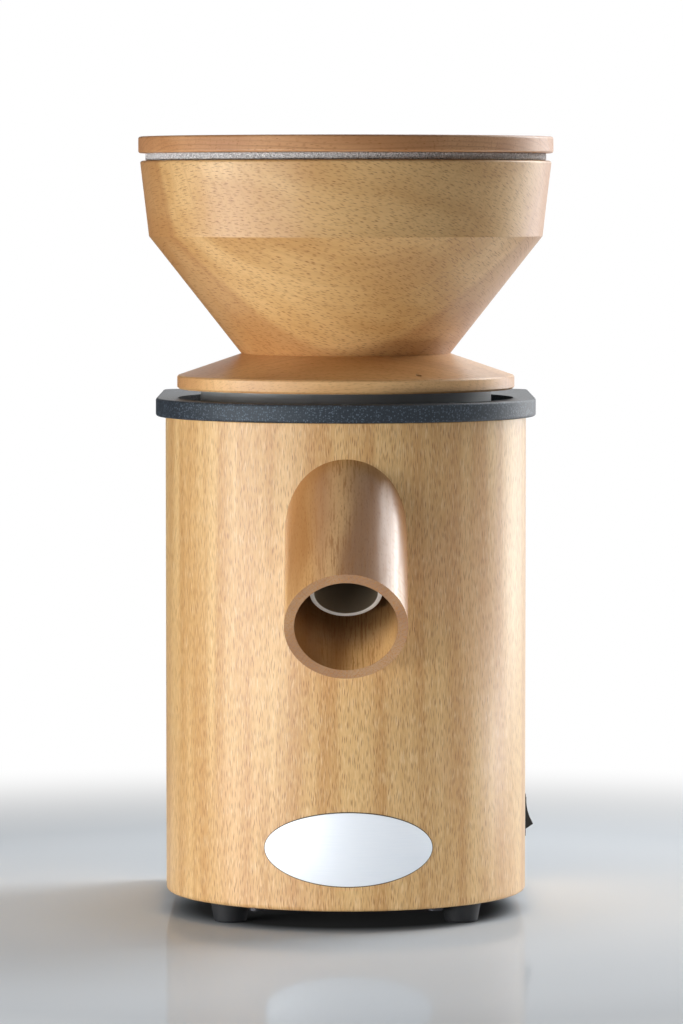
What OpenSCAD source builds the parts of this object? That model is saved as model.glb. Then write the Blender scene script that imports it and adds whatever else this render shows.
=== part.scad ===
// Electric stone mill for grain: bent beech body, tilted flour spout, cast deck and a turned hopper
// that is screwed up and down to set the gap between two millstones.
// Millimetres, +Z up, front towards -Y. The origin is under the middle of the outer box, on the table.

/* [Body] */
// Width of the wooden body
body_w = 185; // [182:0.5:188]
// Height of the wooden body
body_h = 244; // [242:0.5:250]
// Distance from the mill axis back to the rear edge of the body
body_back = 115; // [113:0.5:120]
// Thickness of the bent wooden wall
body_wall = 8; // [7:0.5:8.5]
// Height of the rubber feet
foot_h = 10; // [9:0.5:12]

/* [Deck] */
// How far the cast deck stands out past the body
deck_over = 5; // [3:0.5:7]
// Thickness of the cast deck
deck_h = 9.3; // [9:0.1:10.5]
// Width of the round recess in the deck
deck_recess_w = 172; // [168:0.5:175]

/* [Hopper] */
// Width of the hopper at its rim
rim_w = 210.4; // [206:0.2:214]
// Width of the hopper at the crease
crease_w = 201.6; // [198:0.2:204]
// Width of the waist between hopper and flange
waist_w = 107.2; // [102:0.2:112]
// Width of the wooden flange
flange_w = 173; // [165:0.5:180]
// Width of the metal adjusting collar under the flange
collar_w = 149; // [147:0.5:153]
// Gap between the deck and the flange at the finest setting
flange_gap = 4.7; // [4.5:0.1:6]
// Height of the upright edge of the flange
flange_edge_h = 7; // [6:0.5:9]
// Height of the whole flange piece
flange_h = 18; // [17:0.5:20]
// Height of the hopper from the waist to the crease
cone_h = 60; // [56:0.5:64]
// Height of the hopper from the crease to the rim
bowl_h = 38.5; // [34:0.5:44]

/* [Lid] */
// Width of the lid
lid_w = 212.4; // [208:0.2:216]
// Thickness of the lid board
lid_h = 8.5; // [7:0.5:10]
// Thickness of the felt under the lid
felt_h = 3.7; // [3:0.1:4.5]

/* [Spout] */
// Outer width of the wooden spout
spout_w = 61; // [59:0.5:63]
// Wall of the wooden spout
spout_wall = 5; // [4:0.5:6]
// Height where the top line of the spout meets the front of the body
spout_top_z = 236; // [235:0.5:237]
// Length of the spout's axis past the body's front line
spout_l = 52.5; // [46:0.5:58]
// Lean of the mouth's plane from upright, in degrees
mouth_lean = 31; // [26:1:40]
// Outer width of the liner that carries the flour
liner_w = 37; // [36:0.5:38]

/* [Millstones] */
// Width of both millstones
stone_w = 90; // [88:0.5:91]
// Gap between the stones at the finest setting
stone_gap = 0.3; // [0.2:0.1:0.4]
// Number of long furrows cut in each stone
furrow_count = 12; // [8:1:14]
// Width of a long furrow
furrow_w = 4; // [3:0.5:5]
// Depth of a long furrow at the eye
furrow_d = 2.2; // [1.5:0.1:2.6]

/* [Motor] */
// Width of the motor
motor_w = 100; // [99:0.5:101]
// Height of the stator's stack of sheets
stack_h = 60; // [50:1:64]
// Width of the shaft in its bearings
shaft_w = 17; // [16:0.5:17.5]
// Number of slots in the stator
slot_count = 24; // [18:6:24]
// Number of fan blades
blade_count = 7; // [5:1:9]

/* [Controls] */
// Height of the switch's bezel
switch_h = 24; // [22:0.5:26]
// Width of the switch's bezel
switch_w = 19; // [17:0.5:21]
// Height of the switch's middle above the table
switch_z = 44; // [40:1:50]
// Tilt of the rocker to either side of its middle, in degrees
rocker_tilt = 14; // [10:0.5:14]
// Width of the oval plate on the front
badge_w = 84.2; // [70:0.2:90]
// Height of the oval plate on the front
badge_h = 37.8; // [30:0.2:42]

/* [Hidden] */
$fn = 96;
edge_steps = 4;
eps = 0.01;
over = 1;

beech = "#d9ae78";
beech_red = "#c68f63";
deck_grey = "#3a3f45";
cast_metal = "#a9adb0";
steel = "#c4c7ca";
black_rubber = "#1b1b1c";
black_plastic = "#202124";
stone_grey = "#d5d1c6";
copper = "#b4683a";

// Heights above the table
body_z0 = foot_h;
body_z1 = body_z0 + body_h;
deck_z1 = body_z1 + deck_h;
recess_z = deck_z1 - 4.3;
flange_z0 = deck_z1 + flange_gap;
waist_z = flange_z0 + flange_h;
crease_z = waist_z + cone_h;
rim_z = crease_z + bowl_h;
lid_z0 = rim_z + 0.1 + felt_h;
lid_z1 = lid_z0 + lid_h;

// Radii of the body and the deck
body_r = body_w / 2;
inner_r = body_r - body_wall;
deck_r = body_r + deck_over;
deck_back = body_back + deck_over;
deck_edge = 1.2;
deck_corner = 9;
plate_h = 3;
rabbet = 4;
plate_r = inner_r + rabbet - 0.2;
plate_z1 = body_z0 + plate_h;
panel_y0 = body_back - 5;
panel_y1 = body_back - 2;
batten = 14;
panel_screw_z = [body_z0 + 20, (body_z0 + body_z1) / 2, body_z1 - 16];
panel_screw_head = [3.6, 1.6];
screw_r = 2;
screw_head_r = 3.8;
vent = [4, 36];
vent_pitch = [9, 46];
vent_z = body_z0 + 100;
base_vent = [5, 24];
base_vent_r = 29;
base_vent_n = 16;
rod_boss_r = 6;
rod_boss_h = 8;

// The spout leans 45 degrees; t is the distance along its axis from the point spout_p
spout_r = spout_w / 2;
spout_bore_r = spout_r - spout_wall;
lean = 45;
spout_p = [-body_r + spout_r * cos(lean), spout_top_z - spout_r * sin(lean)];
mouth_t = spout_l + spout_r;
spout_t0 = -20;
spout_spare = 20;
mouth_c = [spout_p[0] - mouth_t * sin(lean), spout_p[1] - mouth_t * cos(lean)];
mouth_half = spout_r / cos(lean - mouth_lean);
spout_reach = -(mouth_c[0] - mouth_half * sin(mouth_lean));
liner_r = liner_w / 2;
liner_wall = 2;
liner_t0 = -12;
liner_t1 = 55;
outlet_t0 = -28;
outlet_t1 = 40;
socket_wall = 4;
socket_t = 30;
socket_reach = inner_r - 4.5;

// The mill's axis, placed so that the origin is under the middle of the outer box
axis_y = (spout_reach - deck_back) / 2;

// Milling chamber, hung under the deck
chamber_r = 50;
chamber_wall = 4;
cup_r = chamber_r + chamber_wall;
chamber_z0 = body_z1 - 49;
chamber_floor = body_z1 - 42;
chamber_flange_z = body_z1 - 6;
chamber_flange_r = 69.5;
chamber_bolt_r = 64.5;
chamber_bolts_n = 6;
chamber_bolt_tip = recess_z + 4.5;
opening_r = 60;
thread_r = 69;
thread_z1 = recess_z + 6;
pin_pitch_r = 54.5;
pin_r = 2.5;
seal_r = 13;
seal_h = 5;
saddle_t = 3;
saddle_w = 64;
saddle_z1 = chamber_flange_z - 1;
saddle_screw = 1.5;
saddle_thread = 3;
saddle_screw_turn = 28.5;
saddle_screw_z = [chamber_z0 + 6, saddle_z1 - 5];
motor_screw_r = 36;
motor_screw_head = [3.8, 3.6];

// Stones and their carriers
stone_r = stone_w / 2;
eye_r = 13;
swallow_r = 24;
swallow_d = 4;
grind_z = body_z1 - 16;
carrier_z0 = chamber_floor + 2;
carrier_z1 = chamber_floor + 10;
upper_plate_z0 = body_z1 + 0.3;
upper_plate_z1 = upper_plate_z0 + 4.5;
stone_screw_r = 35;
furrow_l = stone_r * 0.9;
furrow_turn = 9;
furrow_tilt = 12;
screw_cover = 5;
lower_carrier_r = 43;
carrier_hub_r = 12;
carrier_bolt_r = 3;
carrier_bolt_l = 18;

// Adjusting collar, its web under the wooden flange, and the carrier's neck through it
web_z0 = flange_z0 - 2;
web_z1 = flange_z0 + 2.5;
collar_r = collar_w / 2;
collar_z0 = recess_z + 1.3;
collar_in = thread_r + 0.3;
collar_lip = 2.5;
neck_r = 22;
neck_bore = 17.5;
neck_z1 = web_z1 + 3.5;
shoulder_r = 28;
clip_z = web_z1 + 0.2;
clip_h = 1.2;
clip_groove = 1.4;
clip_cavity_r = 30;
clip_cavity_z = web_z1 + 5.5;
collar_screw_r = 50;
hopper_screw_r = 40;
hopper_screw_head = [4.2, 4];
wood_thread = 12;
collar_thread = 9;

// Hopper
rim_r = rim_w / 2;
crease_r = crease_w / 2;
waist_r = waist_w / 2;
flange_r = flange_w / 2;
throat_r = 15.5;
rim_wall = 8.7;
rim_edge = 1.2;
guard_r = 22;
guard_h = 1.5;
marker_r = 1.5;
marker_at = 80;
marker_turn = 27;
marker_clear = 12;
lid_r = lid_w / 2;
lid_edge = 1.2;
felt_r = rim_r - 2.6;
plug_r = rim_r - rim_wall - 2.5;
plug_h = 6;

// Motor, hung under the chamber
motor_r = motor_w / 2;
shaft_r = shaft_w / 2;
fit_gap = 0.05;
bearing_r = 20;
bearing_h = 12;
bearing_boss_r = 24;
race_r = [12, 17];
race_bevel = 0.5;
race_dip = 1;
shield_top = chamber_z0;
shield_h = 9;
upper_bearing_z = shield_top - 19;
stack_z1 = shield_top - 40;
stack_z0 = stack_z1 - stack_h;
lower_bearing_z = stack_z0 - 35;
lower_shield_z = lower_bearing_z - 4;
lower_shield_h = 8;
skirt_wall = 4;
window_w = 24;
stator_bore = 28;
slot_depth = 12;
slot_w = 3.2;
air_gap = 0.4;
coil_r = [29.5, 41];
coil_h = 17;
coil_round = 4;
rotor_shaft_r = 10;
end_ring_r = [14, 26];
end_ring_h = 6;
motor_bolt_r = 43.5;
fan_r = 44;
fan_z0 = lower_shield_z - 22;
fan_h = 14;
fan_shaft_r = 5;
fan_hub_r = 10;
fan_clip = [fan_shaft_r - 0.6, fan_shaft_r + 2.2];
fan_clip_z = fan_z0 - 2.4;

// Switch in the right side, inlet in the rear panel, plate on the front
switch_y = 40;
bezel_h = 1.5;
bezel_bevel = 1.2;
bezel_rim = 1;
switch_wall = 1;
switch_depth = 22;
rocker_axis_x = body_r - 5;
rocker_base = 4.5;
rocker_face = 8.8;
rocker_half_h = switch_h / 2 - 4.75;
rocker_half_w = switch_w / 2 - bezel_rim - switch_wall - 0.4;
rocker_pin_r = 1.5;
rocker_pin_l = 0.9;
inlet_z = 42;
inlet_w = 27;
inlet_h = 19.5;
inlet_depth = 21;
inlet_flange = [50, 24, 2.5];
inlet_pitch = 40;
inlet_mouth = [24, 16];
inlet_corner = 4;
inlet_mouth_d = 17;
inlet_screw = 1.5;
inlet_screw_head = 3;
pin_at = [[-7, -1.5], [0, 2.5], [7, -1.5]];
pin_size = [2, 4];
badge_x = 1.3;
badge_z = 41.2;
badge_t = 0.8;
cap_at = [-38, 84];
cap_r = 18;
cap_h = 72;
clamp_wall = 1.5;
clamp_w = 12;
clamp_h = 12;
clamp_z = plate_z1 + 10;
clamp_reach = 14;

foot_r = 10;
foot_well_r = 4.5;
foot_well_h = 4;
nut_r = 4;
nut_h = 3.2;
foot_at = [[58.5, -52], [-58.5, -52], [62, 86], [-62, 86]];
rod_at = [[45, -62], [-45, -62], [74, 78], [-74, 78]];

// Points of a quarter circle, counter-clockwise from the angle a0
function quarter(cx, cz, r, a0) =
    [for (i = [0:edge_steps]) let (a = a0 + 90 * i / edge_steps) [cx + r * cos(a), cz + r * sin(a)]];

// Half of a plate's section, with the outer edges rounded by e
function plate_half(w, z0, z1, e) =
    concat([[0, z0]], quarter(w - e, z0 + e, e, -90), quarter(w - e, z1 - e, e, 0), [[0, z1]]);

module placed() translate([0, axis_y, 0]) children();

module disc(r, z0, z1) translate([0, 0, z0]) cylinder(r = r, h = z1 - z0);

module ring(r_out, r_in, z0, z1) difference() {
    disc(r_out, z0, z1);
    disc(r_in, z0 - over, z1 + over);
}

module cone(r0, r1, z0, z1) translate([0, 0, z0]) cylinder(r1 = r0, r2 = r1, h = z1 - z0);

module box(x0, x1, y0, y1, z0, z1) translate([x0, y0, z0]) cube([x1 - x0, y1 - y0, z1 - z0]);

module around(n, r, start = 0) for (i = [0:n - 1])
    rotate([0, 0, start + 360 * i / n]) translate([r, 0, 0]) children();

module at_points(points) for (p = points) translate([p[0], p[1], 0]) children();

// A section drawn in X and Z, drawn out along Y
module along_y(y0, y1) translate([0, y1, 0]) rotate([90, 0, 0]) linear_extrude(y1 - y0) children();

// A plan with a half-round front, straight sides and small rear corners
module u_plate(r, back, corner, z0, z1, e) {
    rotate([0, 0, 180]) rotate_extrude(angle = 180) polygon(plate_half(r, z0, z1, e));
    for (side = [0, 1]) mirror([side, 0, 0]) {
        along_y(0, back - corner) polygon(plate_half(r, z0, z1, e));
        translate([r - corner, back - corner, 0]) rotate_extrude(angle = 90)
            polygon(plate_half(corner, z0, z1, e));
    }
    translate([corner - r, back - corner, 0]) rotate([90, 0, 90]) linear_extrude(2 * (r - corner))
        polygon(plate_half(corner, z0, z1, e));
}

// A cylinder along the spout's axis, from t0 to t1
module spout_rod(r, t0, t1) translate([0, spout_p[0], spout_p[1]]) rotate([180 - lean, 0, 0])
    translate([0, 0, t0]) cylinder(r = r, h = t1 - t0);

// A flat-ended slot with bevelled corners
module slot_shape(w, h) polygon([
    [w / 2, h / 2 - w / 3], [w / 6, h / 2], [-w / 6, h / 2], [-w / 2, h / 2 - w / 3],
    [-w / 2, w / 3 - h / 2], [-w / 6, -h / 2], [w / 6, -h / 2], [w / 2, w / 3 - h / 2]
]);

// A countersunk screw pointing up, its head's face at z0
module flush_screw(r, head_r, z0, z1) {
    cone(head_r, r, z0, z0 + head_r - r);
    disc(r, z0 + head_r - r - eps, z1);
}

// A cap screw pointing up, its head under z0
module cap_screw(r, head_r, head_h, z0, z1) {
    difference() {
        disc(head_r, z0 - head_h, z0);
        translate([0, 0, z0 - head_h - over]) cylinder(r = r * 0.8, h = head_h * 0.6 + over, $fn = 6);
    }
    disc(r, z0 - eps, z1);
}

// Body

module housing_shell() color(beech) placed() {
    section = concat(
        [[inner_r, body_z1], [inner_r, plate_z1], [plate_r + 0.2, plate_z1], [plate_r + 0.2, body_z0]],
        quarter(body_r - 2, body_z0 + 2, 2, -90), quarter(body_r - 0.6, body_z1 - 0.6, 0.6, 0));
    difference() {
        union() {
            rotate([0, 0, 180]) rotate_extrude(angle = 180) polygon(section);
            for (side = [0, 1]) mirror([side, 0, 0]) along_y(0, body_back) polygon(section);
        }
        spout_rod(spout_r, spout_t0, mouth_t);
        switch_block(inner_r - over, body_r + over, bezel_rim);
    }
}

module corner_battens() color(beech) placed() for (side = [0, 1]) mirror([side, 0, 0]) difference() {
    box(inner_r - batten, inner_r, panel_y0 - batten, panel_y0, plate_z1, body_z1);
    panel_screw_holes(batten - 2);
}

module panel_screw_holes(depth) for (z = panel_screw_z)
    translate([inner_r - batten / 2, panel_y1 + over, z]) rotate([90, 0, 0])
        cylinder(r = screw_r, h = panel_y1 - panel_y0 + over + depth);

module rear_panel() color(deck_grey) placed() difference() {
    box(0.2 - inner_r, inner_r - 0.2, panel_y0, panel_y1, plate_z1, body_z1);
    for (row = [0:2], i = [-6:6])
        translate([i * vent_pitch[0], panel_y1 + over, vent_z + row * vent_pitch[1]]) rotate([90, 0, 0])
            linear_extrude(plate_h + 2 * over) slot_shape(vent[0], vent[1]);
    box(-inlet_w / 2, inlet_w / 2, panel_y0 - over, panel_y1 + over,
        inlet_z - inlet_h / 2, inlet_z + inlet_h / 2);
    for (side = [0, 1]) mirror([side, 0, 0]) {
        panel_screw_holes(over);
        translate([inlet_pitch / 2, panel_y1 + over, inlet_z]) rotate([90, 0, 0])
            cylinder(r = inlet_screw, h = plate_h + 2 * over);
    }
}

module panel_screws() color(steel) placed() for (side = [0, 1]) mirror([side, 0, 0])
    for (z = panel_screw_z) translate([inner_r - batten / 2, panel_y1, z]) rotate([90, 0, 0]) {
        translate([0, 0, -panel_screw_head[1]]) cylinder(r = panel_screw_head[0], h = panel_screw_head[1]);
        cylinder(r = screw_r, h = plate_h + batten - 2);
    }

module base_plate() color(deck_grey) placed() difference() {
    u_plate(plate_r, panel_y1, 2, body_z0, plate_z1, 0.4);
    around(base_vent_n, base_vent_r) translate([0, 0, body_z0 - over]) rotate([0, 0, 90])
        linear_extrude(plate_h + 2 * over) slot_shape(base_vent[0], base_vent[1]);
    at_points(foot_at) disc(screw_r, body_z0 - over, plate_z1 + over);
    at_points(rod_at) disc(pin_r, body_z0 - over, plate_z1 + over);
}

module tie_rods() color(steel) placed() at_points(rod_at) cap_screw(pin_r, 4.2, 3, body_z0, recess_z - 2);

module rubber_feet() color(black_rubber) placed() at_points(foot_at) rotate_extrude() polygon([
    [screw_r, foot_h], [foot_r, foot_h], [foot_r - 1.7, 0.8], [foot_r - 2.1, 0.2], [foot_r - 2.6, 0],
    [foot_well_r, 0], [foot_well_r, foot_well_h], [screw_r, foot_well_h]
]);

module foot_screws() color(steel) placed() at_points(foot_at)
    cap_screw(screw_r, screw_head_r, 2.2, foot_well_h, plate_z1 + nut_h + 0.8);

module foot_nuts() color(steel) placed() at_points(foot_at) difference() {
    translate([0, 0, plate_z1]) cylinder(r = nut_r, h = nut_h, $fn = 6);
    disc(screw_r, plate_z1 - over, plate_z1 + nut_h + over);
}

module top_deck() color(deck_grey) placed() difference() {
    union() {
        u_plate(deck_r, deck_back, deck_corner, body_z1, deck_z1, deck_edge);
        at_points(rod_at) disc(rod_boss_r, body_z1 - rod_boss_h, body_z1 + over);
    }
    disc(deck_recess_w / 2, recess_z, deck_z1 + over);
    disc(opening_r, body_z1 - over, recess_z + over);
    around(chamber_bolts_n, chamber_bolt_r) disc(screw_r, body_z1 - over, recess_z + over);
    at_points(rod_at) disc(pin_r, body_z1 - rod_boss_h - over, recess_z - 2);
}

module spout_tube() color(beech) placed() difference() {
    spout_rod(spout_r, spout_t0, mouth_t + spout_spare);
    spout_rod(spout_bore_r, spout_t0 - over, mouth_t + spout_spare + over);
    disc(inner_r - 2, 0, deck_z1);
    translate([0, mouth_c[0], mouth_c[1]]) rotate([mouth_lean, 0, 0])
        translate([-spout_w, -spout_w, -spout_w]) cube([2 * spout_w, spout_w, 2 * spout_w]);
}

module spout_liner() color("white") placed() difference() {
    spout_rod(liner_r, liner_t0, liner_t1);
    spout_rod(liner_r - liner_wall, liner_t0 - over, liner_t1 + over);
}

module badge_plate() color("white") placed() intersection() {
    ring(body_r + badge_t, body_r, badge_z - badge_h, badge_z + badge_h);
    translate([badge_x, 0, badge_z]) rotate([90, 0, 0]) linear_extrude(body_r + 2)
        polygon([for (i = [0:71]) [badge_w / 2 * cos(i * 5), badge_h / 2 * sin(i * 5)]]);
}

// Milling chamber and the fixed half of the adjusting thread

module milling_chamber() color(cast_metal) placed() difference() {
    union() {
        disc(cup_r, chamber_z0, body_z1);
        disc(chamber_flange_r, chamber_flange_z, body_z1);
    }
    disc(chamber_r, chamber_floor, body_z1 + over);
    disc(shaft_r + 1, chamber_z0 - over, chamber_floor + over);
    disc(seal_r, chamber_floor - seal_h, chamber_floor + over);
    spout_rod(liner_r - liner_wall, outlet_t0, outlet_t1);
    spout_rod(liner_r, liner_t0, outlet_t1);
    saddle_holes();
    around(chamber_bolts_n, chamber_bolt_r) disc(screw_r, chamber_flange_z - over, body_z1 + over);
    around(2, pin_pitch_r) disc(pin_r, chamber_flange_z - 2, body_z1 + over);
    around(4, motor_screw_r, 45) {
        disc(screw_r, chamber_z0 - over, chamber_floor + over);
        disc(motor_screw_head[0], chamber_floor - motor_screw_head[1], chamber_floor + over);
    }
}

// A sleeve for the liner, with a saddle that is screwed to the chamber's wall
module outlet_socket() color(cast_metal) placed() difference() {
    union() {
        intersection() {
            spout_rod(liner_r + socket_wall, -socket_t, socket_t);
            disc(socket_reach, chamber_z0 - 30, chamber_flange_z);
        }
        intersection() {
            disc(cup_r + saddle_t, chamber_z0, saddle_z1);
            box(-saddle_w / 2, saddle_w / 2, -cup_r - saddle_t, 0, chamber_z0, saddle_z1);
        }
    }
    disc(cup_r, chamber_z0, body_z1);
    disc(motor_r + 0.5, chamber_z0 - 30, chamber_z0 + over);
    spout_rod(liner_r - liner_wall, outlet_t0, outlet_t1);
    spout_rod(liner_r, liner_t0, outlet_t1);
    saddle_holes();
}

// Places things on the saddle's outer face, pointing in
module at_saddle() for (turn = [-1, 1] * saddle_screw_turn, z = saddle_screw_z)
    rotate([0, 0, turn]) translate([0, -cup_r - saddle_t, z]) rotate([-90, 0, 0]) children();

module saddle_holes() at_saddle()
    translate([0, 0, -over]) cylinder(r = saddle_screw, h = saddle_t + saddle_thread + over);

module socket_screws() color(steel) placed() at_saddle()
    cap_screw(saddle_screw, 2.8, 2.2, 0, saddle_t + saddle_thread);

module chamber_bolts() color(steel) placed() around(chamber_bolts_n, chamber_bolt_r)
    cap_screw(screw_r, 3.5, 3.5, chamber_flange_z, chamber_bolt_tip);

module thread_ring() color(steel) placed() difference() {
    ring(thread_r, opening_r, recess_z, thread_z1);
    around(chamber_bolts_n, chamber_bolt_r) disc(screw_r, recess_z - over, chamber_bolt_tip);
}

module guide_pins() color(steel) placed() around(2, pin_pitch_r)
    disc(pin_r, chamber_flange_z - 2, recess_z + 3);

module shaft_seal() color(black_rubber) placed() rotate_extrude() polygon([
    [shaft_r + 0.1, chamber_floor - seal_h], [seal_r, chamber_floor - seal_h], [seal_r, chamber_floor - 0.5],
    [shaft_r + 2, chamber_floor - 0.5], [shaft_r + 0.1, chamber_floor - 2.5]
]);

module motor_screws() color(steel) placed() around(4, motor_screw_r, 45)
    mirror([0, 0, 1])
        cap_screw(screw_r, 3.7, 3.3, motor_screw_head[1] - chamber_floor, shield_h - 1 - shield_top);

// Motor

module skirt_windows(z0, z1) for (i = [0:5]) rotate([0, 0, 60 * i + 15])
    box(motor_r - skirt_wall - over, motor_r + over, -window_w / 2, window_w / 2, z0, z1);

module upper_end_shield() color(cast_metal) placed() difference() {
    union() {
        disc(motor_r, shield_top - shield_h, shield_top);
        disc(bearing_boss_r, upper_bearing_z, shield_top);
        ring(motor_r, motor_r - skirt_wall, stack_z1, shield_top - shield_h + over);
    }
    disc(bearing_r, upper_bearing_z - over, upper_bearing_z + bearing_h);
    disc(shaft_r + 1, upper_bearing_z, shield_top + over);
    around(4, motor_screw_r, 45) disc(screw_r, shield_top - shield_h + 1, shield_top + over);
    around(4, motor_bolt_r) disc(screw_r, shield_top - shield_h - over, shield_top - 3);
    skirt_windows(stack_z1 + 8, shield_top - shield_h - 5);
}

module lower_end_shield() color(cast_metal) placed() difference() {
    union() {
        disc(motor_r, lower_shield_z, lower_shield_z + lower_shield_h);
        disc(bearing_boss_r, lower_shield_z, lower_bearing_z + bearing_h);
        ring(motor_r, motor_r - skirt_wall, lower_shield_z + lower_shield_h - over, stack_z0);
    }
    disc(bearing_r, lower_bearing_z, lower_bearing_z + bearing_h + over);
    disc(shaft_r + 1, lower_shield_z - over, lower_bearing_z + over);
    around(4, motor_bolt_r) disc(screw_r, lower_shield_z - over, lower_shield_z + lower_shield_h + over);
    skirt_windows(lower_shield_z + lower_shield_h + 5, stack_z0 - 8);
}

module stator_core() color(steel) placed() difference() {
    ring(motor_r, stator_bore, stack_z0, stack_z1);
    around(slot_count, stator_bore) translate([-over, -slot_w / 2, stack_z0 - over])
        cube([slot_depth + over, slot_w, stack_h + 2 * over]);
    around(4, motor_bolt_r) disc(screw_r, stack_z0 - over, stack_z1 + over);
}

module field_windings() color(copper) placed() {
    around(slot_count, stator_bore + 1.5)
        box(0, slot_depth - 2, 0.2 - slot_w / 2, slot_w / 2 - 0.2, stack_z0 - eps, stack_z1 + eps);
    for (z = [stack_z0 - coil_h, stack_z1]) rotate_extrude() polygon(concat(
        quarter(coil_r[1] - coil_round, z + coil_round, coil_round, -90),
        quarter(coil_r[1] - coil_round, z + coil_h - coil_round, coil_round, 0),
        quarter(coil_r[0] + coil_round, z + coil_h - coil_round, coil_round, 90),
        quarter(coil_r[0] + coil_round, z + coil_round, coil_round, 180)));
}

module motor_bolts() color(steel) placed() around(4, motor_bolt_r)
    cap_screw(screw_r, 3.5, 3, lower_shield_z, shield_top - 3);

// Inner race, sunk seal and outer race in one section
module bearing(z0) rotate_extrude() polygon([
    [shaft_r + fit_gap, z0], [race_r[0], z0], [race_r[0] + race_bevel, z0 + race_dip],
    [race_r[1] - race_bevel, z0 + race_dip], [race_r[1], z0], [bearing_r, z0],
    [bearing_r, z0 + bearing_h], [race_r[1], z0 + bearing_h],
    [race_r[1] - race_bevel, z0 + bearing_h - race_dip], [race_r[0] + race_bevel, z0 + bearing_h - race_dip],
    [race_r[0], z0 + bearing_h], [shaft_r + fit_gap, z0 + bearing_h]
]);

module upper_bearing() color(steel) placed() bearing(upper_bearing_z);

module lower_bearing() color(steel) placed() bearing(lower_bearing_z);

module run_capacitor() color(cast_metal) placed() at_points([cap_at]) {
    disc(cap_r, plate_z1, plate_z1 + cap_h);
    for (x = [-5, 5]) box(x - 0.4, x + 0.4, -3, 3, plate_z1 + cap_h - eps, plate_z1 + cap_h + 8);
}

module capacitor_clamp() color(steel) placed() at_points([cap_at]) {
    ring(cap_r + clamp_wall, cap_r, clamp_z, clamp_z + clamp_h);
    difference() {
        union() {
            box(-clamp_w / 2, clamp_w / 2, -cap_r - 3, -cap_r - 0.5, plate_z1, clamp_z + clamp_h);
            box(-clamp_w / 2, clamp_w / 2, -cap_r - clamp_reach, -cap_r - 0.5, plate_z1, plate_z1 + 2);
        }
        disc(cap_r, plate_z1 - over, clamp_z + clamp_h + over);
    }
}

module motor_shaft() color(steel) placed() difference() {
    rotate_extrude() polygon([
        [0, fan_z0 - 4], [fan_shaft_r, fan_z0 - 4], [fan_shaft_r, lower_shield_z - 1],
        [shaft_r, lower_shield_z - 1], [shaft_r, stack_z0 - 8], [rotor_shaft_r, stack_z0 - 8],
        [rotor_shaft_r, stack_z1 + 8], [shaft_r, stack_z1 + 8], [shaft_r, carrier_z1 - 2], [0, carrier_z1 - 2]
    ]);
    disc(carrier_bolt_r, carrier_z1 - carrier_bolt_l, carrier_z1);
    ring(fan_shaft_r + over, fan_clip[0], fan_clip_z, fan_clip_z + clip_h);
}

module rotor_core() color(steel) placed() ring(stator_bore - air_gap, rotor_shaft_r, stack_z0, stack_z1);

module rotor_end_rings() color(cast_metal) placed() {
    ring(end_ring_r[1], end_ring_r[0], stack_z0 - end_ring_h, stack_z0);
    ring(end_ring_r[1], end_ring_r[0], stack_z1, stack_z1 + end_ring_h);
}

module cooling_fan() color(black_plastic) placed() {
    rotate_extrude() polygon([
        [fan_shaft_r, fan_z0], [fan_hub_r, fan_z0], [fan_hub_r, fan_z0 + fan_h - 2],
        [fan_r, fan_z0 + fan_h - 2], [fan_r, fan_z0 + fan_h], [fan_shaft_r, fan_z0 + fan_h]
    ]);
    around(blade_count, fan_hub_r - 2) rotate([0, 0, 18])
        box(0, fan_r - fan_hub_r, -1, 1, fan_z0 + 1, fan_z0 + fan_h - 1);
}

module fan_circlip() color(steel) placed() difference() {
    ring(fan_clip[1], fan_clip[0], fan_clip_z, fan_clip_z + clip_h);
    box(0, 12, -1.5, 1.5, fan_z0 - 4, fan_z0);
}

// Millstones

// Long and short furrows that slope up from the eye to the rim, cut down into a face at z = 0
module furrows() for (i = [0:furrow_count - 1]) {
    for (f = [[0, 10, furrow_l - 10, 1], [180 / furrow_count, 22, furrow_l - 24, 0.7]])
        rotate([0, 0, 360 * i / furrow_count + f[0]]) translate([f[1], -6, -furrow_d * f[3]])
            rotate([0, -asin(furrow_d * f[3] / f[2]), furrow_turn]) rotate([furrow_tilt, 0, 0])
                cube([f[2] + 3, furrow_w * f[3] + 0.6, 8]);
}

module stone(h) difference() {
    disc(stone_r, -h, 0);
    disc(eye_r, -h - over, over);
    cone(eye_r - 0.5, swallow_r, -swallow_d, eps);
    furrows();
    around(3, stone_screw_r, 30) disc(screw_r, -h - over, -screw_cover);
}

module lower_stone_carrier() color(cast_metal) placed() difference() {
    union() {
        disc(lower_carrier_r, carrier_z0, carrier_z1);
        disc(carrier_hub_r, chamber_floor + 0.4, carrier_z0 + over);
    }
    disc(shaft_r, chamber_floor - over, carrier_z1 - 2);
    disc(carrier_bolt_r, chamber_floor - over, carrier_z1 + over);
    around(3, stone_screw_r, 30) {
        disc(screw_r, carrier_z0 - over, carrier_z1 + over);
        cone(screw_head_r, screw_r, carrier_z0, carrier_z0 + screw_head_r - screw_r);
    }
}

module lower_stone() color(stone_grey) placed() translate([0, 0, grind_z - stone_gap / 2])
    stone(grind_z - stone_gap / 2 - carrier_z1);

module lower_stone_screws() color(steel) placed() around(3, stone_screw_r, 30)
    flush_screw(screw_r, screw_head_r, carrier_z0, grind_z - stone_gap / 2 - screw_cover);

module carrier_bolt() color(steel) placed() mirror([0, 0, 1])
    cap_screw(carrier_bolt_r, 6, 4.5, -carrier_z1, carrier_bolt_l - carrier_z1);

module wiper_blades() color(steel) placed() around(3, 0) difference() {
    box(lower_carrier_r - over, chamber_r - 1, -1.5, 1.5, chamber_floor + 0.8, carrier_z1 - 1);
    disc(lower_carrier_r, chamber_floor, carrier_z1);
}

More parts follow.
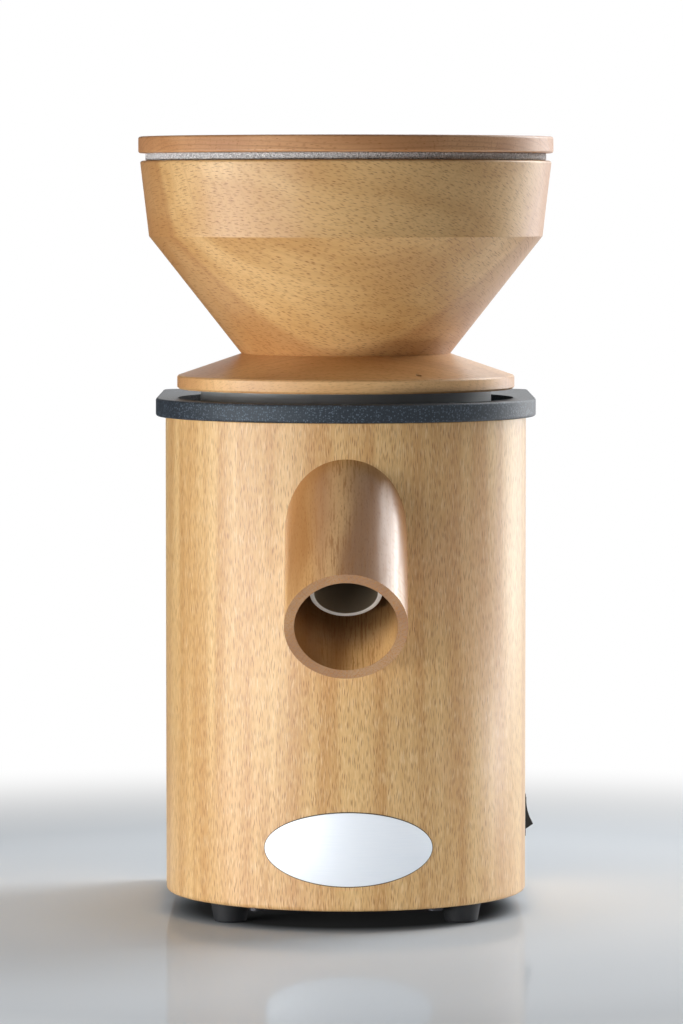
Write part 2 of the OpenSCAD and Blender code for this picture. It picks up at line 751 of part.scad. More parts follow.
module upper_stone_carrier() color(cast_metal) placed() difference() {
    union() {
        disc(opening_r - 2, upper_plate_z0, upper_plate_z1);
        disc(shoulder_r, upper_plate_z0, web_z0 - 0.2);
        disc(neck_r, upper_plate_z0, neck_z1);
    }
    cone(eye_r, neck_bore, upper_plate_z0 - eps, web_z0);
    disc(neck_bore, web_z0 - eps, neck_z1 + over);
    ring(neck_r + over, neck_r - clip_groove, clip_z, clip_z + clip_h);
    around(2, pin_pitch_r) disc(pin_r + 0.4, upper_plate_z0 - over, upper_plate_z1 + over);
    around(3, stone_screw_r, 90) {
        disc(screw_r, upper_plate_z0 - over, upper_plate_z1 + over);
        cone(screw_r, screw_head_r, upper_plate_z1 - screw_head_r + screw_r, upper_plate_z1);
    }
}

module upper_stone() color(stone_grey) placed() translate([0, 0, grind_z + stone_gap / 2]) mirror([0, 0, 1])
    rotate([0, 0, 60]) stone(upper_plate_z0 - grind_z - stone_gap / 2);

module upper_stone_screws() color(steel) placed() around(3, stone_screw_r, 90)
    mirror([0, 0, 1])
        flush_screw(screw_r, screw_head_r, -upper_plate_z1, -(grind_z + stone_gap / 2 + screw_cover));

module carrier_circlip() color(steel) placed() difference() {
    ring(neck_r + 4, neck_r - clip_groove, clip_z, clip_z + clip_h);
    box(0, neck_r + 8, -4, 4, clip_z - over, clip_z + clip_h + over);
}

// Hopper

module adjusting_collar() color(cast_metal) placed() difference() {
    rotate_extrude() polygon([
        [neck_r + 0.3, web_z0], [collar_in, web_z0], [collar_in, collar_z0], [collar_r - 0.6, collar_z0],
        [collar_r, collar_z0 + 0.6], [collar_r, flange_z0], [collar_r - collar_lip, flange_z0],
        [collar_r - collar_lip, web_z1], [neck_r + 0.3, web_z1]
    ]);
    around(4, collar_screw_r, 45) {
        disc(screw_r, web_z0 - over, web_z1 + over);
        cone(screw_head_r, screw_r, web_z0, web_z0 + screw_head_r - screw_r);
    }
}

module collar_screws() color(steel) placed() around(4, collar_screw_r, 45)
    flush_screw(screw_r, screw_head_r, web_z0, web_z1 + collar_thread);

module hopper_base() color(beech) placed() difference() {
    rotate_extrude() polygon(concat(
        [[throat_r, waist_z], [throat_r, clip_cavity_z], [clip_cavity_r, clip_cavity_z],
         [clip_cavity_r, web_z1], [collar_r - collar_lip, web_z1],
         [collar_r - collar_lip, flange_z0], [flange_r - 1, flange_z0],
         [flange_r, flange_z0 + 1], [flange_r, flange_z0 + flange_edge_h - 0.8],
         [flange_r - 0.7, flange_z0 + flange_edge_h]],
        [[waist_r, waist_z]]));
    around(4, collar_screw_r, 45) disc(screw_r, web_z1 - over, web_z1 + collar_thread);
    around(4, hopper_screw_r) {
        disc(hopper_screw_head[0], web_z1 - over, web_z1 + hopper_screw_head[1]);
        disc(screw_r, web_z1, waist_z + over);
    }
    marker_hole(over);
}

module marker_hole(extra) rotate([0, 0, marker_turn]) translate([0, -marker_at, flange_z0 + 2])
    cylinder(r = marker_r, h = flange_edge_h - 1.2 + marker_clear * extra);

module setting_marker() color(black_plastic) placed() marker_hole(0);

module finger_guard() color(steel) placed() {
    ring(guard_r, throat_r, waist_z, waist_z + guard_h);
    for (turn = [45, 135]) rotate([0, 0, turn]) intersection() {
        box(-throat_r - over, throat_r + over, -1.2, 1.2, waist_z, waist_z + guard_h);
        disc(throat_r + over, waist_z, waist_z + guard_h);
    }
}

module hopper_bowl() color(beech) placed() difference() {
    rotate_extrude() polygon(concat(
        [[throat_r, waist_z], [waist_r, waist_z], [crease_r, crease_z]],
        quarter(rim_r - rim_edge, rim_z - rim_edge, rim_edge, 0),
        quarter(rim_r - rim_wall + rim_edge, rim_z - rim_edge, rim_edge, 90),
        [[crease_r - rim_wall, crease_z + 4], [throat_r, waist_z + 4]]));
    disc(guard_r, waist_z - over, waist_z + guard_h);
    around(4, hopper_screw_r) disc(screw_r, waist_z - over, waist_z + wood_thread);
}

module hopper_screws() color(steel) placed() around(4, hopper_screw_r)
    cap_screw(screw_r, 3.9, 3.2, web_z1 + hopper_screw_head[1], waist_z + wood_thread);

module lid_board() color(beech_red) placed() rotate_extrude() polygon(concat(
    [[0, lid_z0 - plug_h], [plug_r - 1, lid_z0 - plug_h], [plug_r, lid_z0 - plug_h + 1], [plug_r, lid_z0]],
    quarter(lid_r - lid_edge, lid_z0 + lid_edge, lid_edge, -90),
    quarter(lid_r - lid_edge, lid_z1 - lid_edge, lid_edge, 0),
    [[0, lid_z1]]));

module lid_felt() color("#8d8f90") placed() ring(felt_r, plug_r, lid_z0 - felt_h, lid_z0);

// Controls

module switch_housing() color(black_plastic) placed() difference() {
    union() {
        intersection() {
            along_y(switch_y - switch_w / 2, switch_y + switch_w / 2)
                translate([body_r, switch_z]) bevel_side(switch_h);
            translate([0, 0, switch_z - switch_h / 2]) linear_extrude(switch_h)
                translate([body_r, switch_y]) bevel_side(switch_w);
        }
        switch_block(body_r - switch_depth, body_r + eps, bezel_rim);
    }
    switch_block(body_r - 14, body_r + bezel_h + over, bezel_rim + switch_wall);
    translate([rocker_axis_x, switch_y, switch_z])
        rocker_pin(rocker_pin_r + fit_gap, rocker_half_w + rocker_pin_l);
}

// The pivot that a rocker swings on, across the switch
module rocker_pin(r, half_l) rotate([90, 0, 0]) cylinder(r = r, h = 2 * half_l, center = true);

// Half of the bezel's section, from the wall at 0 out to its face
module bevel_side(w)
    polygon([[0, -w / 2], [bezel_h, bezel_bevel - w / 2], [bezel_h, w / 2 - bezel_bevel], [0, w / 2]]);

module switch_block(x0, x1, inset)
    box(x0, x1, switch_y - switch_w / 2 + inset, switch_y + switch_w / 2 - inset,
        switch_z - switch_h / 2 + inset, switch_z + switch_h / 2 - inset);

// Tilted with its lower end out; the face is hollow across the height
module switch_rocker() color(black_plastic) placed() translate([rocker_axis_x, switch_y, switch_z]) {
    rotate([0, -rocker_tilt, 0]) along_y(-rocker_half_w, rocker_half_w) rocker_side();
    rocker_pin(rocker_pin_r, rocker_half_w + rocker_pin_l);
}

module rocker_side() difference() {
    polygon([
        [-4, -3], [-4, 3], [1.5, 5], [rocker_base, rocker_half_h + 1.6], [rocker_face, rocker_half_h],
        [rocker_face, -rocker_half_h], [rocker_base, -rocker_half_h - 1.6], [1.5, -5]
    ]);
    translate([rocker_face + 24, 0]) circle(r = 25);
}

module power_inlet() color(black_plastic) placed() translate([0, panel_y1, inlet_z]) difference() {
    union() {
        box(-inlet_flange[0] / 2, inlet_flange[0] / 2, 0, inlet_flange[2],
            -inlet_flange[1] / 2, inlet_flange[1] / 2);
        box(0.2 - inlet_w / 2, inlet_w / 2 - 0.2, -inlet_depth, eps, 0.2 - inlet_h / 2, inlet_h / 2 - 0.2);
    }
    translate([0, inlet_flange[2] + over, 0]) rotate([90, 0, 0])
        linear_extrude(inlet_mouth_d + inlet_flange[2] + over) inlet_outline(inlet_mouth[0], inlet_mouth[1]);
    for (x = [-1, 1]) translate([x * inlet_pitch / 2, -over, 0]) rotate([-90, 0, 0]) {
        cylinder(r = inlet_screw, h = inlet_flange[2] + 2 * over);
        translate([0, 0, over]) cone(inlet_screw, inlet_screw_head,
            inlet_flange[2] - inlet_screw_head + inlet_screw, inlet_flange[2]);
    }
    for (p = pin_at) inlet_pin(p, -inlet_depth - over, 1 - inlet_mouth_d);
}

module inlet_outline(w, h) polygon([
    [-w / 2, -h / 2], [w / 2, -h / 2], [w / 2, h / 2 - inlet_corner], [w / 2 - inlet_corner, h / 2],
    [inlet_corner - w / 2, h / 2], [-w / 2, h / 2 - inlet_corner]
]);

module inlet_pin(at, y0, y1) box(at[0] - pin_size[0] / 2, at[0] + pin_size[0] / 2, y0, y1,
    at[1] - pin_size[1] / 2, at[1] + pin_size[1] / 2);

module inlet_pins() color(steel) placed() translate([0, panel_y1, inlet_z])
    for (p = pin_at) inlet_pin(p, -inlet_depth - 6, -1);

module inlet_screws() color(steel) placed() for (x = [-1, 1])
    translate([x * inlet_pitch / 2, panel_y1 + inlet_flange[2], inlet_z]) rotate([90, 0, 0])
        flush_screw(inlet_screw, inlet_screw_head, 0, 10);

housing_shell();
corner_battens();
rear_panel();
panel_screws();
base_plate();
tie_rods();
rubber_feet();
foot_screws();
foot_nuts();
top_deck();
spout_tube();
spout_liner();
badge_plate();
milling_chamber();
outlet_socket();
socket_screws();
chamber_bolts();
thread_ring();
guide_pins();
shaft_seal();
motor_screws();
upper_end_shield();
lower_end_shield();
stator_core();
field_windings();
motor_bolts();
upper_bearing();
lower_bearing();
run_capacitor();
capacitor_clamp();
switch_housing();
switch_rocker();
power_inlet();
inlet_pins();
inlet_screws();
motor_shaft();
rotor_core();
rotor_end_rings();
cooling_fan();
fan_circlip();
lower_stone_carrier();
lower_stone();
lower_stone_screws();
carrier_bolt();
wiper_blades();
upper_stone_carrier();
upper_stone();
upper_stone_screws();
carrier_circlip();
adjusting_collar();
collar_screws();
hopper_base();
setting_marker();
finger_guard();
hopper_bowl();
hopper_screws();
lid_board();
lid_felt();
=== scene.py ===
# The looks of an electric stone mill for grain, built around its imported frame.
# Metres, +Z up, the front of the mill towards -Y.
import math

import bpy
from mathutils import Euler, Matrix, Vector


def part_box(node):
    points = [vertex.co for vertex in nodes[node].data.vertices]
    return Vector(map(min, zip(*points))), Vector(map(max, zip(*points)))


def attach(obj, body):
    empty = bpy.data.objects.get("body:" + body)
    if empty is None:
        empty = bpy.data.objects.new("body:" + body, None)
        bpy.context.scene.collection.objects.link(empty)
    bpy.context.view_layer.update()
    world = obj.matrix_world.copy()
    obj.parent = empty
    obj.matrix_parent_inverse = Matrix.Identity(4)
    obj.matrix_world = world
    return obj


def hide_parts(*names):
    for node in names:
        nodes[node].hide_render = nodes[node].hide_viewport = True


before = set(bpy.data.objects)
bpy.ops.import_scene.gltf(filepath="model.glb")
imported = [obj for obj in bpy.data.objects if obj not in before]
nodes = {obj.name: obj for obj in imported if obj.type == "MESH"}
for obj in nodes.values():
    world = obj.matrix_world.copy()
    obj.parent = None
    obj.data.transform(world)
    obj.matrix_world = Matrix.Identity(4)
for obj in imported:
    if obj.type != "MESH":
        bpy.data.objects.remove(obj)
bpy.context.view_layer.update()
bpy.ops.object.select_all(action="DESELECT")
mm = 0.001
lidLow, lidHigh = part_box("lid_board")
axisY = (lidLow.y + lidHigh.y) / 2  # the mill's upright axis
bodyLow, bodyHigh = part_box("housing_shell")
bodyRadius = (bodyHigh.x - bodyLow.x) / 2
print("stage: frame loaded, axis at y", round(axisY / mm, 2), "mm")


def colour(red, green, blue):
    # 0 to 255 as on a screen, turned into linear values
    def linear(step):
        share = step / 255
        return share / 12.92 if share <= 0.04045 else ((share + 0.055) / 1.055) ** 2.4

    return (linear(red), linear(green), linear(blue), 1.0)


class Wire:
    # one output socket; arithmetic with it adds Math nodes
    def __init__(self, paint, socket):
        self.paint = paint
        self.socket = socket

    def math(self, operation, *others):
        values = dict(enumerate([self, *others]))
        return self.paint.add("ShaderNodeMath", {"operation": operation}, values)

    def __add__(self, other):
        return self.math("ADD", other)

    def __sub__(self, other):
        return self.math("SUBTRACT", other)

    def __mul__(self, other):
        return self.math("MULTIPLY", other)

    def __truediv__(self, other):
        return self.math("DIVIDE", other)

    def __rsub__(self, other):
        return self.paint.add("ShaderNodeMath", {"operation": "SUBTRACT"}, {0: other, 1: self})

    __radd__ = __add__
    __rmul__ = __mul__

    def smooth(self, low, high):
        # 0 below low, 1 above high, a soft step between
        values = {"Value": self, "From Min": low, "From Max": high}
        return self.paint.add("ShaderNodeMapRange", {"interpolation_type": "SMOOTHSTEP"}, values)


def reachOf(x, y):
    # how far a point is from the middle, seen along the third axis
    return (x * x + y * y).math("POWER", 0.5)


class NodeTree:
    # add() takes a node's type, its settings and what goes into its sockets
    def __init__(self, tree):
        self.tree = tree

    def add(self, kind, settings=None, values=None, output=0):
        node = self.tree.nodes.new(kind)
        for setting, value in (settings or {}).items():
            setattr(node, setting, value)
        for socket, value in (values or {}).items():
            self.feed(node.inputs[socket], value)
        return Wire(self, node.outputs[output])

    def feed(self, socket, value):
        if isinstance(value, Wire):
            self.tree.links.new(value.socket, socket)
        else:
            socket.default_value = value

    def seen(self, bright):
        # 1 for the camera, straight or through glass, and bright for mirror images
        camera, mirror, glass = (self.add("ShaderNodeLightPath", output=name)
                                 for name in ("Is Camera Ray", "Is Glossy Ray", "Is Transmission Ray"))
        return camera + mirror * bright + glass


class Paint(NodeTree):
    # one material and its shader; sockets are written with _ for a blank
    def __init__(self, name, **constants):
        self.material = bpy.data.materials.new(name)
        self.material.use_nodes = True
        super().__init__(self.material.node_tree)
        self.shader = self.tree.nodes["Principled BSDF"]
        for socket, value in constants.items():
            self.shader.inputs[socket.replace("_", " ")].default_value = value
        self.object = self.add("ShaderNodeTexCoord", output="Object")

    def finish(self, **wires):
        for socket, wire in wires.items():
            self.feed(self.shader.inputs[socket.replace("_", " ")], wire)
        return self.material

    def place(self, centre=(0, 0, 0), turn=(0, 0, 0)):
        # object coordinates in millimetres from a centre, turned
        centre = tuple(value * mm for value in centre)
        values = {"Vector": self.object, "Location": centre, "Rotation": turn, "Scale": (mm, mm, mm)}
        return self.add("ShaderNodeMapping", {"vector_type": "TEXTURE"}, values)

    def stretch(self, vector, across, along):
        # the same point counted in steps of these sizes, so that a texture has that grain
        values = {"Vector": vector, "Scale": (1 / across, 1 / across, 1 / along)}
        return self.add("ShaderNodeMapping", {"vector_type": "POINT"}, values)

    def split(self, vector):
        return [self.add("ShaderNodeSeparateXYZ", values={0: vector}, output=axis) for axis in "XYZ"]

    def join(self, x, y, z):
        return self.add("ShaderNodeCombineXYZ", values={0: x, 1: y, 2: z})

    def noise(self, vector, scale=1.0, detail=2.0, roughness=0.5, distortion=0.0):
        values = {"Vector": vector, "Scale": scale, "Detail": detail, "Roughness": roughness,
                  "Distortion": distortion}
        return self.add("ShaderNodeTexNoise", values=values)

    def cells(self, vector, dimensions="3D"):
        # distance from the middle of the nearest cell, and a number that each cell has for itself
        values = {"Vector": vector, "Scale": 1.0, "Randomness": 1.0}
        distance = self.add("ShaderNodeTexVoronoi", {"voronoi_dimensions": dimensions}, values)
        node = distance.socket.node
        own = self.add("ShaderNodeSeparateColor", values={0: Wire(self, node.outputs["Color"])})
        return distance, own

    def mix(self, share, first, second):
        return self.add("ShaderNodeMix", {"data_type": "RGBA"}, {0: share, 6: first, 7: second}, output=2)

    def bump(self, height, depth, strength=0.5):
        # depth in millimetres for a height of 1
        values = {"Height": height, "Strength": strength, "Distance": depth * mm}
        return self.add("ShaderNodeBump", values=values)

    def facing(self, direction):
        # how squarely a face looks along a direction, from 0 to 1
        normal = self.add("ShaderNodeTexCoord", output="Normal")
        turned = self.add("ShaderNodeVectorMath", {"operation": "DOT_PRODUCT"},
                          {0: normal, 1: direction}, output="Value")
        return turned.math("ABSOLUTE")


def finishAll(material, *names):
    for name in names:
        nodes[name].data.materials.clear()
        nodes[name].data.materials.append(material)


# Bent beech of the body: upright grain that follows the wall round the front

bodyWood = {
    "light": colour(223, 185, 128),
    "dark": colour(200, 154, 97),
    "rosy": colour(211, 163, 122),
    "pale": colour(242, 218, 174),
    "fleck": colour(142, 88, 42),
    "rosyShare": 0.4,
    "paleShare": 0.45,
    "darkShare": 0.55,
    "fleckAcross": 0.85,  # mm, the room that one fleck has
    "fleckAlong": 9.5,
    "fleckShare": 0.85,
    "speckAcross": 0.75,  # mm, the same for the small specks
    "speckAlong": 5.5,
    "speckShare": 0.3,
    "plyThickness": 1.6,
    "sawnShare": 0.55,  # how much darker sawn edges are
    "lacquer": 0.6,
    "satin": 0.32,
    "depth": 0.06,  # mm
}


def bentBeech(look):
    paint = Paint("bentBeech", Specular_IOR_Level=0.2, Coat_Weight=look["lacquer"],
                  Coat_Roughness=look["satin"])
    x, y, z = paint.split(paint.place(centre=(0, axisY / mm, 0)))
    front = y.math("MINIMUM", 0)
    turnRound = x.math("ARCTAN2", 0 - front) * (bodyRadius / mm)
    arc = turnRound + x.math("SIGN") * y.math("MAXIMUM", 0)
    waver = paint.noise(paint.join(arc * 0.25, z * 0.12, 0), detail=2) * 1.3
    grain = arc + waver
    spot = paint.join(grain / look["fleckAcross"], z / look["fleckAlong"], 0)
    distance, own = paint.cells(spot, dimensions="2D")
    fleck = (1 - distance.smooth(0.08, 0.34 - own * 0.1)) * (0.4 + own * 0.6)
    spot = paint.join(grain / look["speckAcross"], z / look["speckAlong"], 3.7)
    dust, dustOwn = paint.cells(spot, dimensions="2D")
    speck = (1 - dust.smooth(0.1, 0.4)) * dustOwn
    fibre = paint.noise(paint.join(grain * 1.7, z * 0.11, 0), detail=3, roughness=0.6)
    band = paint.noise(paint.join(arc * 0.09, z * 0.003, 0), detail=3)
    cloud = paint.noise(paint.join(arc * 0.02, z * 0.008, 7.3), detail=2)
    wood = paint.mix(band.smooth(0.36, 0.64), look["light"], look["dark"])
    wood = paint.mix(cloud.smooth(0.46, 0.7) * look["rosyShare"], wood, look["rosy"])
    wood = paint.mix(fibre.smooth(0.5, 0.68) * look["paleShare"], wood, look["pale"])
    wood = paint.mix((0.5 - fibre).smooth(0.02, 0.18) * look["darkShare"], wood, look["dark"])
    wood = paint.mix(fleck * look["fleckShare"] + speck * look["speckShare"], wood, look["fleck"])
    # ply edges show where the wall is sawn: top, bottom and back
    reach = reachOf(x, front)
    ply = ((bodyRadius / mm - reach) / look["plyThickness"]).math("FRACT")
    glue = ply.smooth(0.02, 0.1) - ply.smooth(0.9, 0.98)
    backFace = (bodyHigh.y - axisY) / mm
    sawn = paint.facing((0, 0, 1)).smooth(0.8, 0.95)
    sawn = sawn.math("MAXIMUM", y.smooth(backFace - 0.4, backFace - 0.1))
    wood = paint.mix(sawn * (look["sawnShare"] - glue * 0.35), wood, look["fleck"])
    relief = fleck * -1.0 + fibre * 0.5 + speck * -0.4
    rough = 0.4 + fibre * 0.1 + fleck * 0.15
    return paint.finish(Base_Color=wood, Roughness=rough, Normal=paint.bump(relief, look["depth"]))


# Solid beech: rings round a pith, and rays that show as flecks, flakes or end-grain lines

hopperWood = {
    "name": "turnedBeech",
    "pith": (0, axisY / mm + 234, 284),  # mm, a point that the middle of the tree passes through
    "grain": (0, 104),  # degrees of pitch and of turn that lay the grain's Z axis along the piece
    "seenAt": 330,  # mm from the pith to the face that is seen
    "ringWidth": 4.4,
    "heart": 290,  # mm from the pith, inside which the wood is redder: heartwood tone, and painted shade on the hopper's sides and cone
    "heartBlur": 2.5,
    "heartShadeShare": 0.46,
    "light": colour(223, 182, 124),
    "dark": colour(202, 155, 96),
    "fleck": colour(136, 80, 34),
    "endGrain": colour(188, 132, 82),
    "heartwoodShade": colour(164, 107, 62),
    "fleckAcross": 1.0,  # mm, the room that one fleck has
    "fleckAlong": 5.0,
    "fleckShare": 0.7,
    "poreAcross": 0.9,  # mm
    "poreAlong": 3.6,
    "poreShare": 0.4,
    "fibreShare": 0.4,
    "ringShare": 0.3,  # at most, as rings differ
    "sawnShare": 0.75,
    "lacquer": 0.6,
    "satin": 0.32,
    "depth": 0.06,  # mm
}
baseWood = dict(hopperWood, name="flangeBeech", pith=(0, axisY / mm + 130, 230), grain=(0, 88),
                seenAt=190, heart=0, light=colour(232, 186, 128), dark=colour(212, 162, 106),
                fleckShare=0.25, poreShare=0.3)
lidWood = dict(hopperWood, name="lidBeech", pith=(0, axisY / mm - 80, 262), grain=(0, 90.6), seenAt=130,
               ringWidth=2.4, heart=0, light=colour(205, 153, 106), dark=colour(183, 128, 80),
               endGrain=colour(194, 138, 92), fleckShare=0.12, poreShare=0.6, ringShare=0.5)
spoutWood = dict(hopperWood, name="spoutBeech", pith=(60, 10, 190), grain=(-45, 0), seenAt=75,
                 ringWidth=2.2, heart=0, light=colour(228, 180, 118), dark=colour(178, 124, 70),
                 endGrain=colour(158, 124, 98), fleckShare=0.15, fibreShare=0.9, lacquer=1.0, satin=0.24)
battenWood = dict(hopperWood, name="battenBeech", pith=(30, 200, 0), grain=(0, 0), heart=0)

# Painted shade: the spout's bore is darker towards the stones, deeper in the tube
boreShadeLook = {
    "radius": 25.5,  # mm
    # colour of the painted shade in the bore
    "stain": colour(70, 38, 14),
    "least": 0.14,  # share of the painted shade at the mouth
    "deeper": 0.6,  # what is added further in
    "from": -60,  # mm along the tube, where the painted shade begins to grow, and where it is full
    "full": -37,
}


def solidBeech(look, bore=None):
    paint = Paint(look["name"], Specular_IOR_Level=0.2, Coat_Roughness=look["satin"])
    turn = (math.radians(look["grain"][0]), math.radians(look["grain"][1]), 0)
    u, v, w = paint.split(paint.place(look["pith"], turn))
    spot = paint.join(u, v, w)
    u = u + (paint.noise(paint.stretch(spot, across=40, along=220), detail=2) - 0.5) * 6
    radius = reachOf(u, v)
    around = v.math("ARCTAN2", u) * look["seenAt"]
    wiggle = paint.noise(paint.stretch(spot, across=4, along=10), detail=1) * 1.2
    side = (around + wiggle) / look["fleckAcross"]
    ray, rayOwn = paint.cells(paint.join(side, w / look["fleckAlong"], 0), dimensions="2D")
    fleck = (1 - ray.smooth(0.08, 0.36 - rayOwn * 0.1)) * (0.35 + rayOwn * 0.65)
    hole, holeOwn = paint.cells(paint.stretch(spot, look["poreAcross"], look["poreAlong"]))
    pore = (1 - hole.smooth(0.1, 0.42)) * holeOwn
    fibre = paint.noise(paint.stretch(spot, across=0.8, along=13), detail=3, roughness=0.6)
    cloud = paint.noise(paint.stretch(spot, across=30, along=110), detail=2)
    # on a face that the rings lie flat in, they are broad and faint
    normal = paint.add("ShaderNodeTexCoord", output="Normal")
    ringUp = paint.add("ShaderNodeVectorRotate", {"rotation_type": "EULER_XYZ"},
                       {"Vector": paint.join(u / radius, v / radius, 0), "Rotation": turn})
    flat = paint.add("ShaderNodeVectorMath", {"operation": "DOT_PRODUCT"}, {0: normal, 1: ringUp},
                     output="Value")
    ring = radius / look["ringWidth"] + paint.noise(paint.stretch(spot, across=70, along=300)) * 1.5
    ringOwn = paint.add("ShaderNodeTexWhiteNoise", {"noise_dimensions": "1D"}, {"W": ring.math("FLOOR")})
    ring = ring.math("FRACT")
    late = (ring.smooth(0.5, 0.93) - ring.smooth(0.95, 1.0)) * (0.15 + ringOwn * 0.85)
    late = late * (1 - flat.math("ABSOLUTE") * 0.85)
    wood = paint.mix(cloud.smooth(0.36, 0.64), look["light"], look["dark"])
    grainWay = Vector((0, 0, 1))
    grainWay.rotate(Euler(turn))
    sawn = paint.facing(tuple(grainWay)).smooth(0.82, 1.0)
    # heartwood tone, and also painted shade: darker, redder wood on the hopper's sides and lower cone
    heart = 1 - radius.smooth(look["heart"] - look["heartBlur"], look["heart"] + look["heartBlur"])
    wood = paint.mix(heart * look["heartShadeShare"], wood, look["heartwoodShade"])
    wood = paint.mix(sawn * look["sawnShare"], wood, look["endGrain"])
    wood = paint.mix(late * look["ringShare"], wood, look["fleck"])
    strand = (0.5 - fibre).smooth(0.0, 0.14)
    wood = paint.mix(strand * look["fibreShare"], wood, look["dark"])
    wood = paint.mix(fleck * look["fleckShare"] + pore * look["poreShare"], wood, look["fleck"])
    # painted shade inside the spout's bore, growing deeper in
    if bore:
        linerLow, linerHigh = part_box("spout_liner")
        middle = tuple((linerLow + linerHigh) / 2 / mm)
        across, up, deep = paint.split(paint.place(middle, turn))
        insideShade = 1 - reachOf(across, up).smooth(bore["radius"], bore["radius"] + 0.4)
        stain = bore["least"] + deep.smooth(bore["from"], bore["full"]) * bore["deeper"]
        wood = paint.mix(insideShade * stain, wood, bore["stain"])
    relief = fleck * -1.0 + fibre * 0.5 + pore * -0.6
    rough = 0.4 + fibre * 0.1 + fleck * 0.15 + sawn * 0.08
    lacquer = look["lacquer"] * (1 - strand * look["fibreShare"] * 0.5 - pore * look["poreShare"])
    return paint.finish(Base_Color=wood, Roughness=rough, Coat_Weight=lacquer,
                        Normal=paint.bump(relief, look["depth"]))


finishAll(bentBeech(bodyWood), "housing_shell")
finishAll(solidBeech(hopperWood), "hopper_bowl")
finishAll(solidBeech(baseWood), "hopper_base")
finishAll(solidBeech(lidWood), "lid_board")
finishAll(solidBeech(spoutWood, boreShadeLook), "spout_tube")
finishAll(solidBeech(battenWood), "corner_battens")
print("stage: wood finished")


# Coats, metals, plastics and stone

coatLook = {
    "base": colour(37, 42, 48),
    "pale": colour(86, 96, 108),
    "grainSize": 0.9,  # mm
    "depth": 0.12,
    "roughness": 0.32,
}
sheetCoat = dict(coatLook, base=colour(44, 46, 50), pale=colour(70, 73, 78), grainSize=0.5, depth=0.05,
                 roughness=0.4)


def powderCoat(name, look):
    paint = Paint(name, IOR=1.38, Specular_Tint=(0.78, 0.9, 1.0, 1.0))
    spot = paint.place()
    hammer, own = paint.cells(paint.stretch(spot, look["grainSize"], look["grainSize"]))
    fine = paint.noise(spot, scale=2.4, detail=3, roughness=0.7)
    cloud = paint.noise(spot, scale=0.05, detail=3)
    share = own.smooth(0.35, 0.8) * (1 - hammer.smooth(0.25, 0.6)) + fine.smooth(0.5, 0.8) * cloud * 0.6
    coat = paint.mix(share.math("MINIMUM", 1), look["base"], look["pale"])
    relief = hammer * 0.8 + fine * 0.6
    rough = look["roughness"] + fine * 0.2
    return paint.finish(Base_Color=coat, Roughness=rough,
                        Normal=paint.bump(relief, look["depth"], strength=0.8))


castLook = {
    "base": colour(176, 180, 184),
    "pit": colour(120, 124, 128),
    "toolStep": 0.5,  # mm between the turning marks on a machined face
    "depth": 0.18,  # mm
}


def castMetal(look):
    paint = Paint("castAluminium", Metallic=1.0)
    spot = paint.place(centre=(0, axisY / mm, 0))
    x, y, z = paint.split(spot)
    reach = reachOf(x, y)
    turned = paint.facing((0, 0, 1)).smooth(0.97, 0.999)
    sand = paint.noise(spot, scale=1.1, detail=4, roughness=0.7)
    stain = paint.noise(spot, scale=0.06, detail=3)
    marks = (reach * (2 * math.pi / look["toolStep"])).math("SINE")
    metal = paint.mix(sand.smooth(0.45, 0.85) * (1 - turned * 0.8), look["base"], look["pit"])
    metal = paint.mix(stain.smooth(0.5, 0.8) * 0.35, metal, look["pit"])
    relief = sand * (1 - turned) + marks * turned * 0.25
    rough = 0.52 - turned * 0.24 + sand * 0.12
    return paint.finish(Base_Color=metal, Roughness=rough,
                        Normal=paint.bump(relief, look["depth"], strength=0.6))


collarLook = {
    "base": colour(200, 206, 210),
    "dark": colour(162, 167, 172),
    "toolStep": 0.35,  # mm
    "depth": 0.02,
}


def collarMetal(look):
    paint = Paint("collarAluminium", IOR=1.3)
    spot = paint.place(centre=(0, axisY / mm, 0))
    x, y, z = paint.split(spot)
    marks = (z * (2 * math.pi / look["toolStep"])).math("SINE")
    drift = paint.noise(paint.join(z * 6, 0, 0), detail=2)
    stain = paint.noise(spot, scale=0.08, detail=3)
    dull = drift.smooth(0.35, 0.7) * 0.5 + stain.smooth(0.5, 0.8) * 0.3
    metal = paint.mix(dull, look["base"], look["dark"])
    rough = 0.34 + drift * 0.12
    return paint.finish(Base_Color=metal, Roughness=rough,
                        Normal=paint.bump(marks + drift, look["depth"], strength=0.4))


steelLook = {
    "base": colour(196, 199, 203),
    "worn": colour(150, 152, 156),
    "depth": 0.02,  # mm
}


def zincSteel(name, look):
    paint = Paint(name, Metallic=1.0)
    spot = paint.place()
    cloud = paint.noise(spot, scale=0.25, detail=4, roughness=0.6)
    scratch = paint.noise(paint.stretch(spot, across=4, along=0.25), detail=3, roughness=0.7)
    wear = cloud.smooth(0.4, 0.75) * 0.6 + scratch.smooth(0.6, 0.8) * 0.3
    metal = paint.mix(wear, look["base"], look["worn"])
    rough = 0.26 + cloud * 0.16 + scratch * 0.1
    return paint.finish(Base_Color=metal, Roughness=rough,
                        Normal=paint.bump(scratch, look["depth"], strength=0.3))


sheetLook = {
    "base": colour(112, 114, 118),
    "edge": colour(64, 66, 72),
    "sheet": 0.5,  # mm, one sheet of the stack
    "depth": 0.08,
}


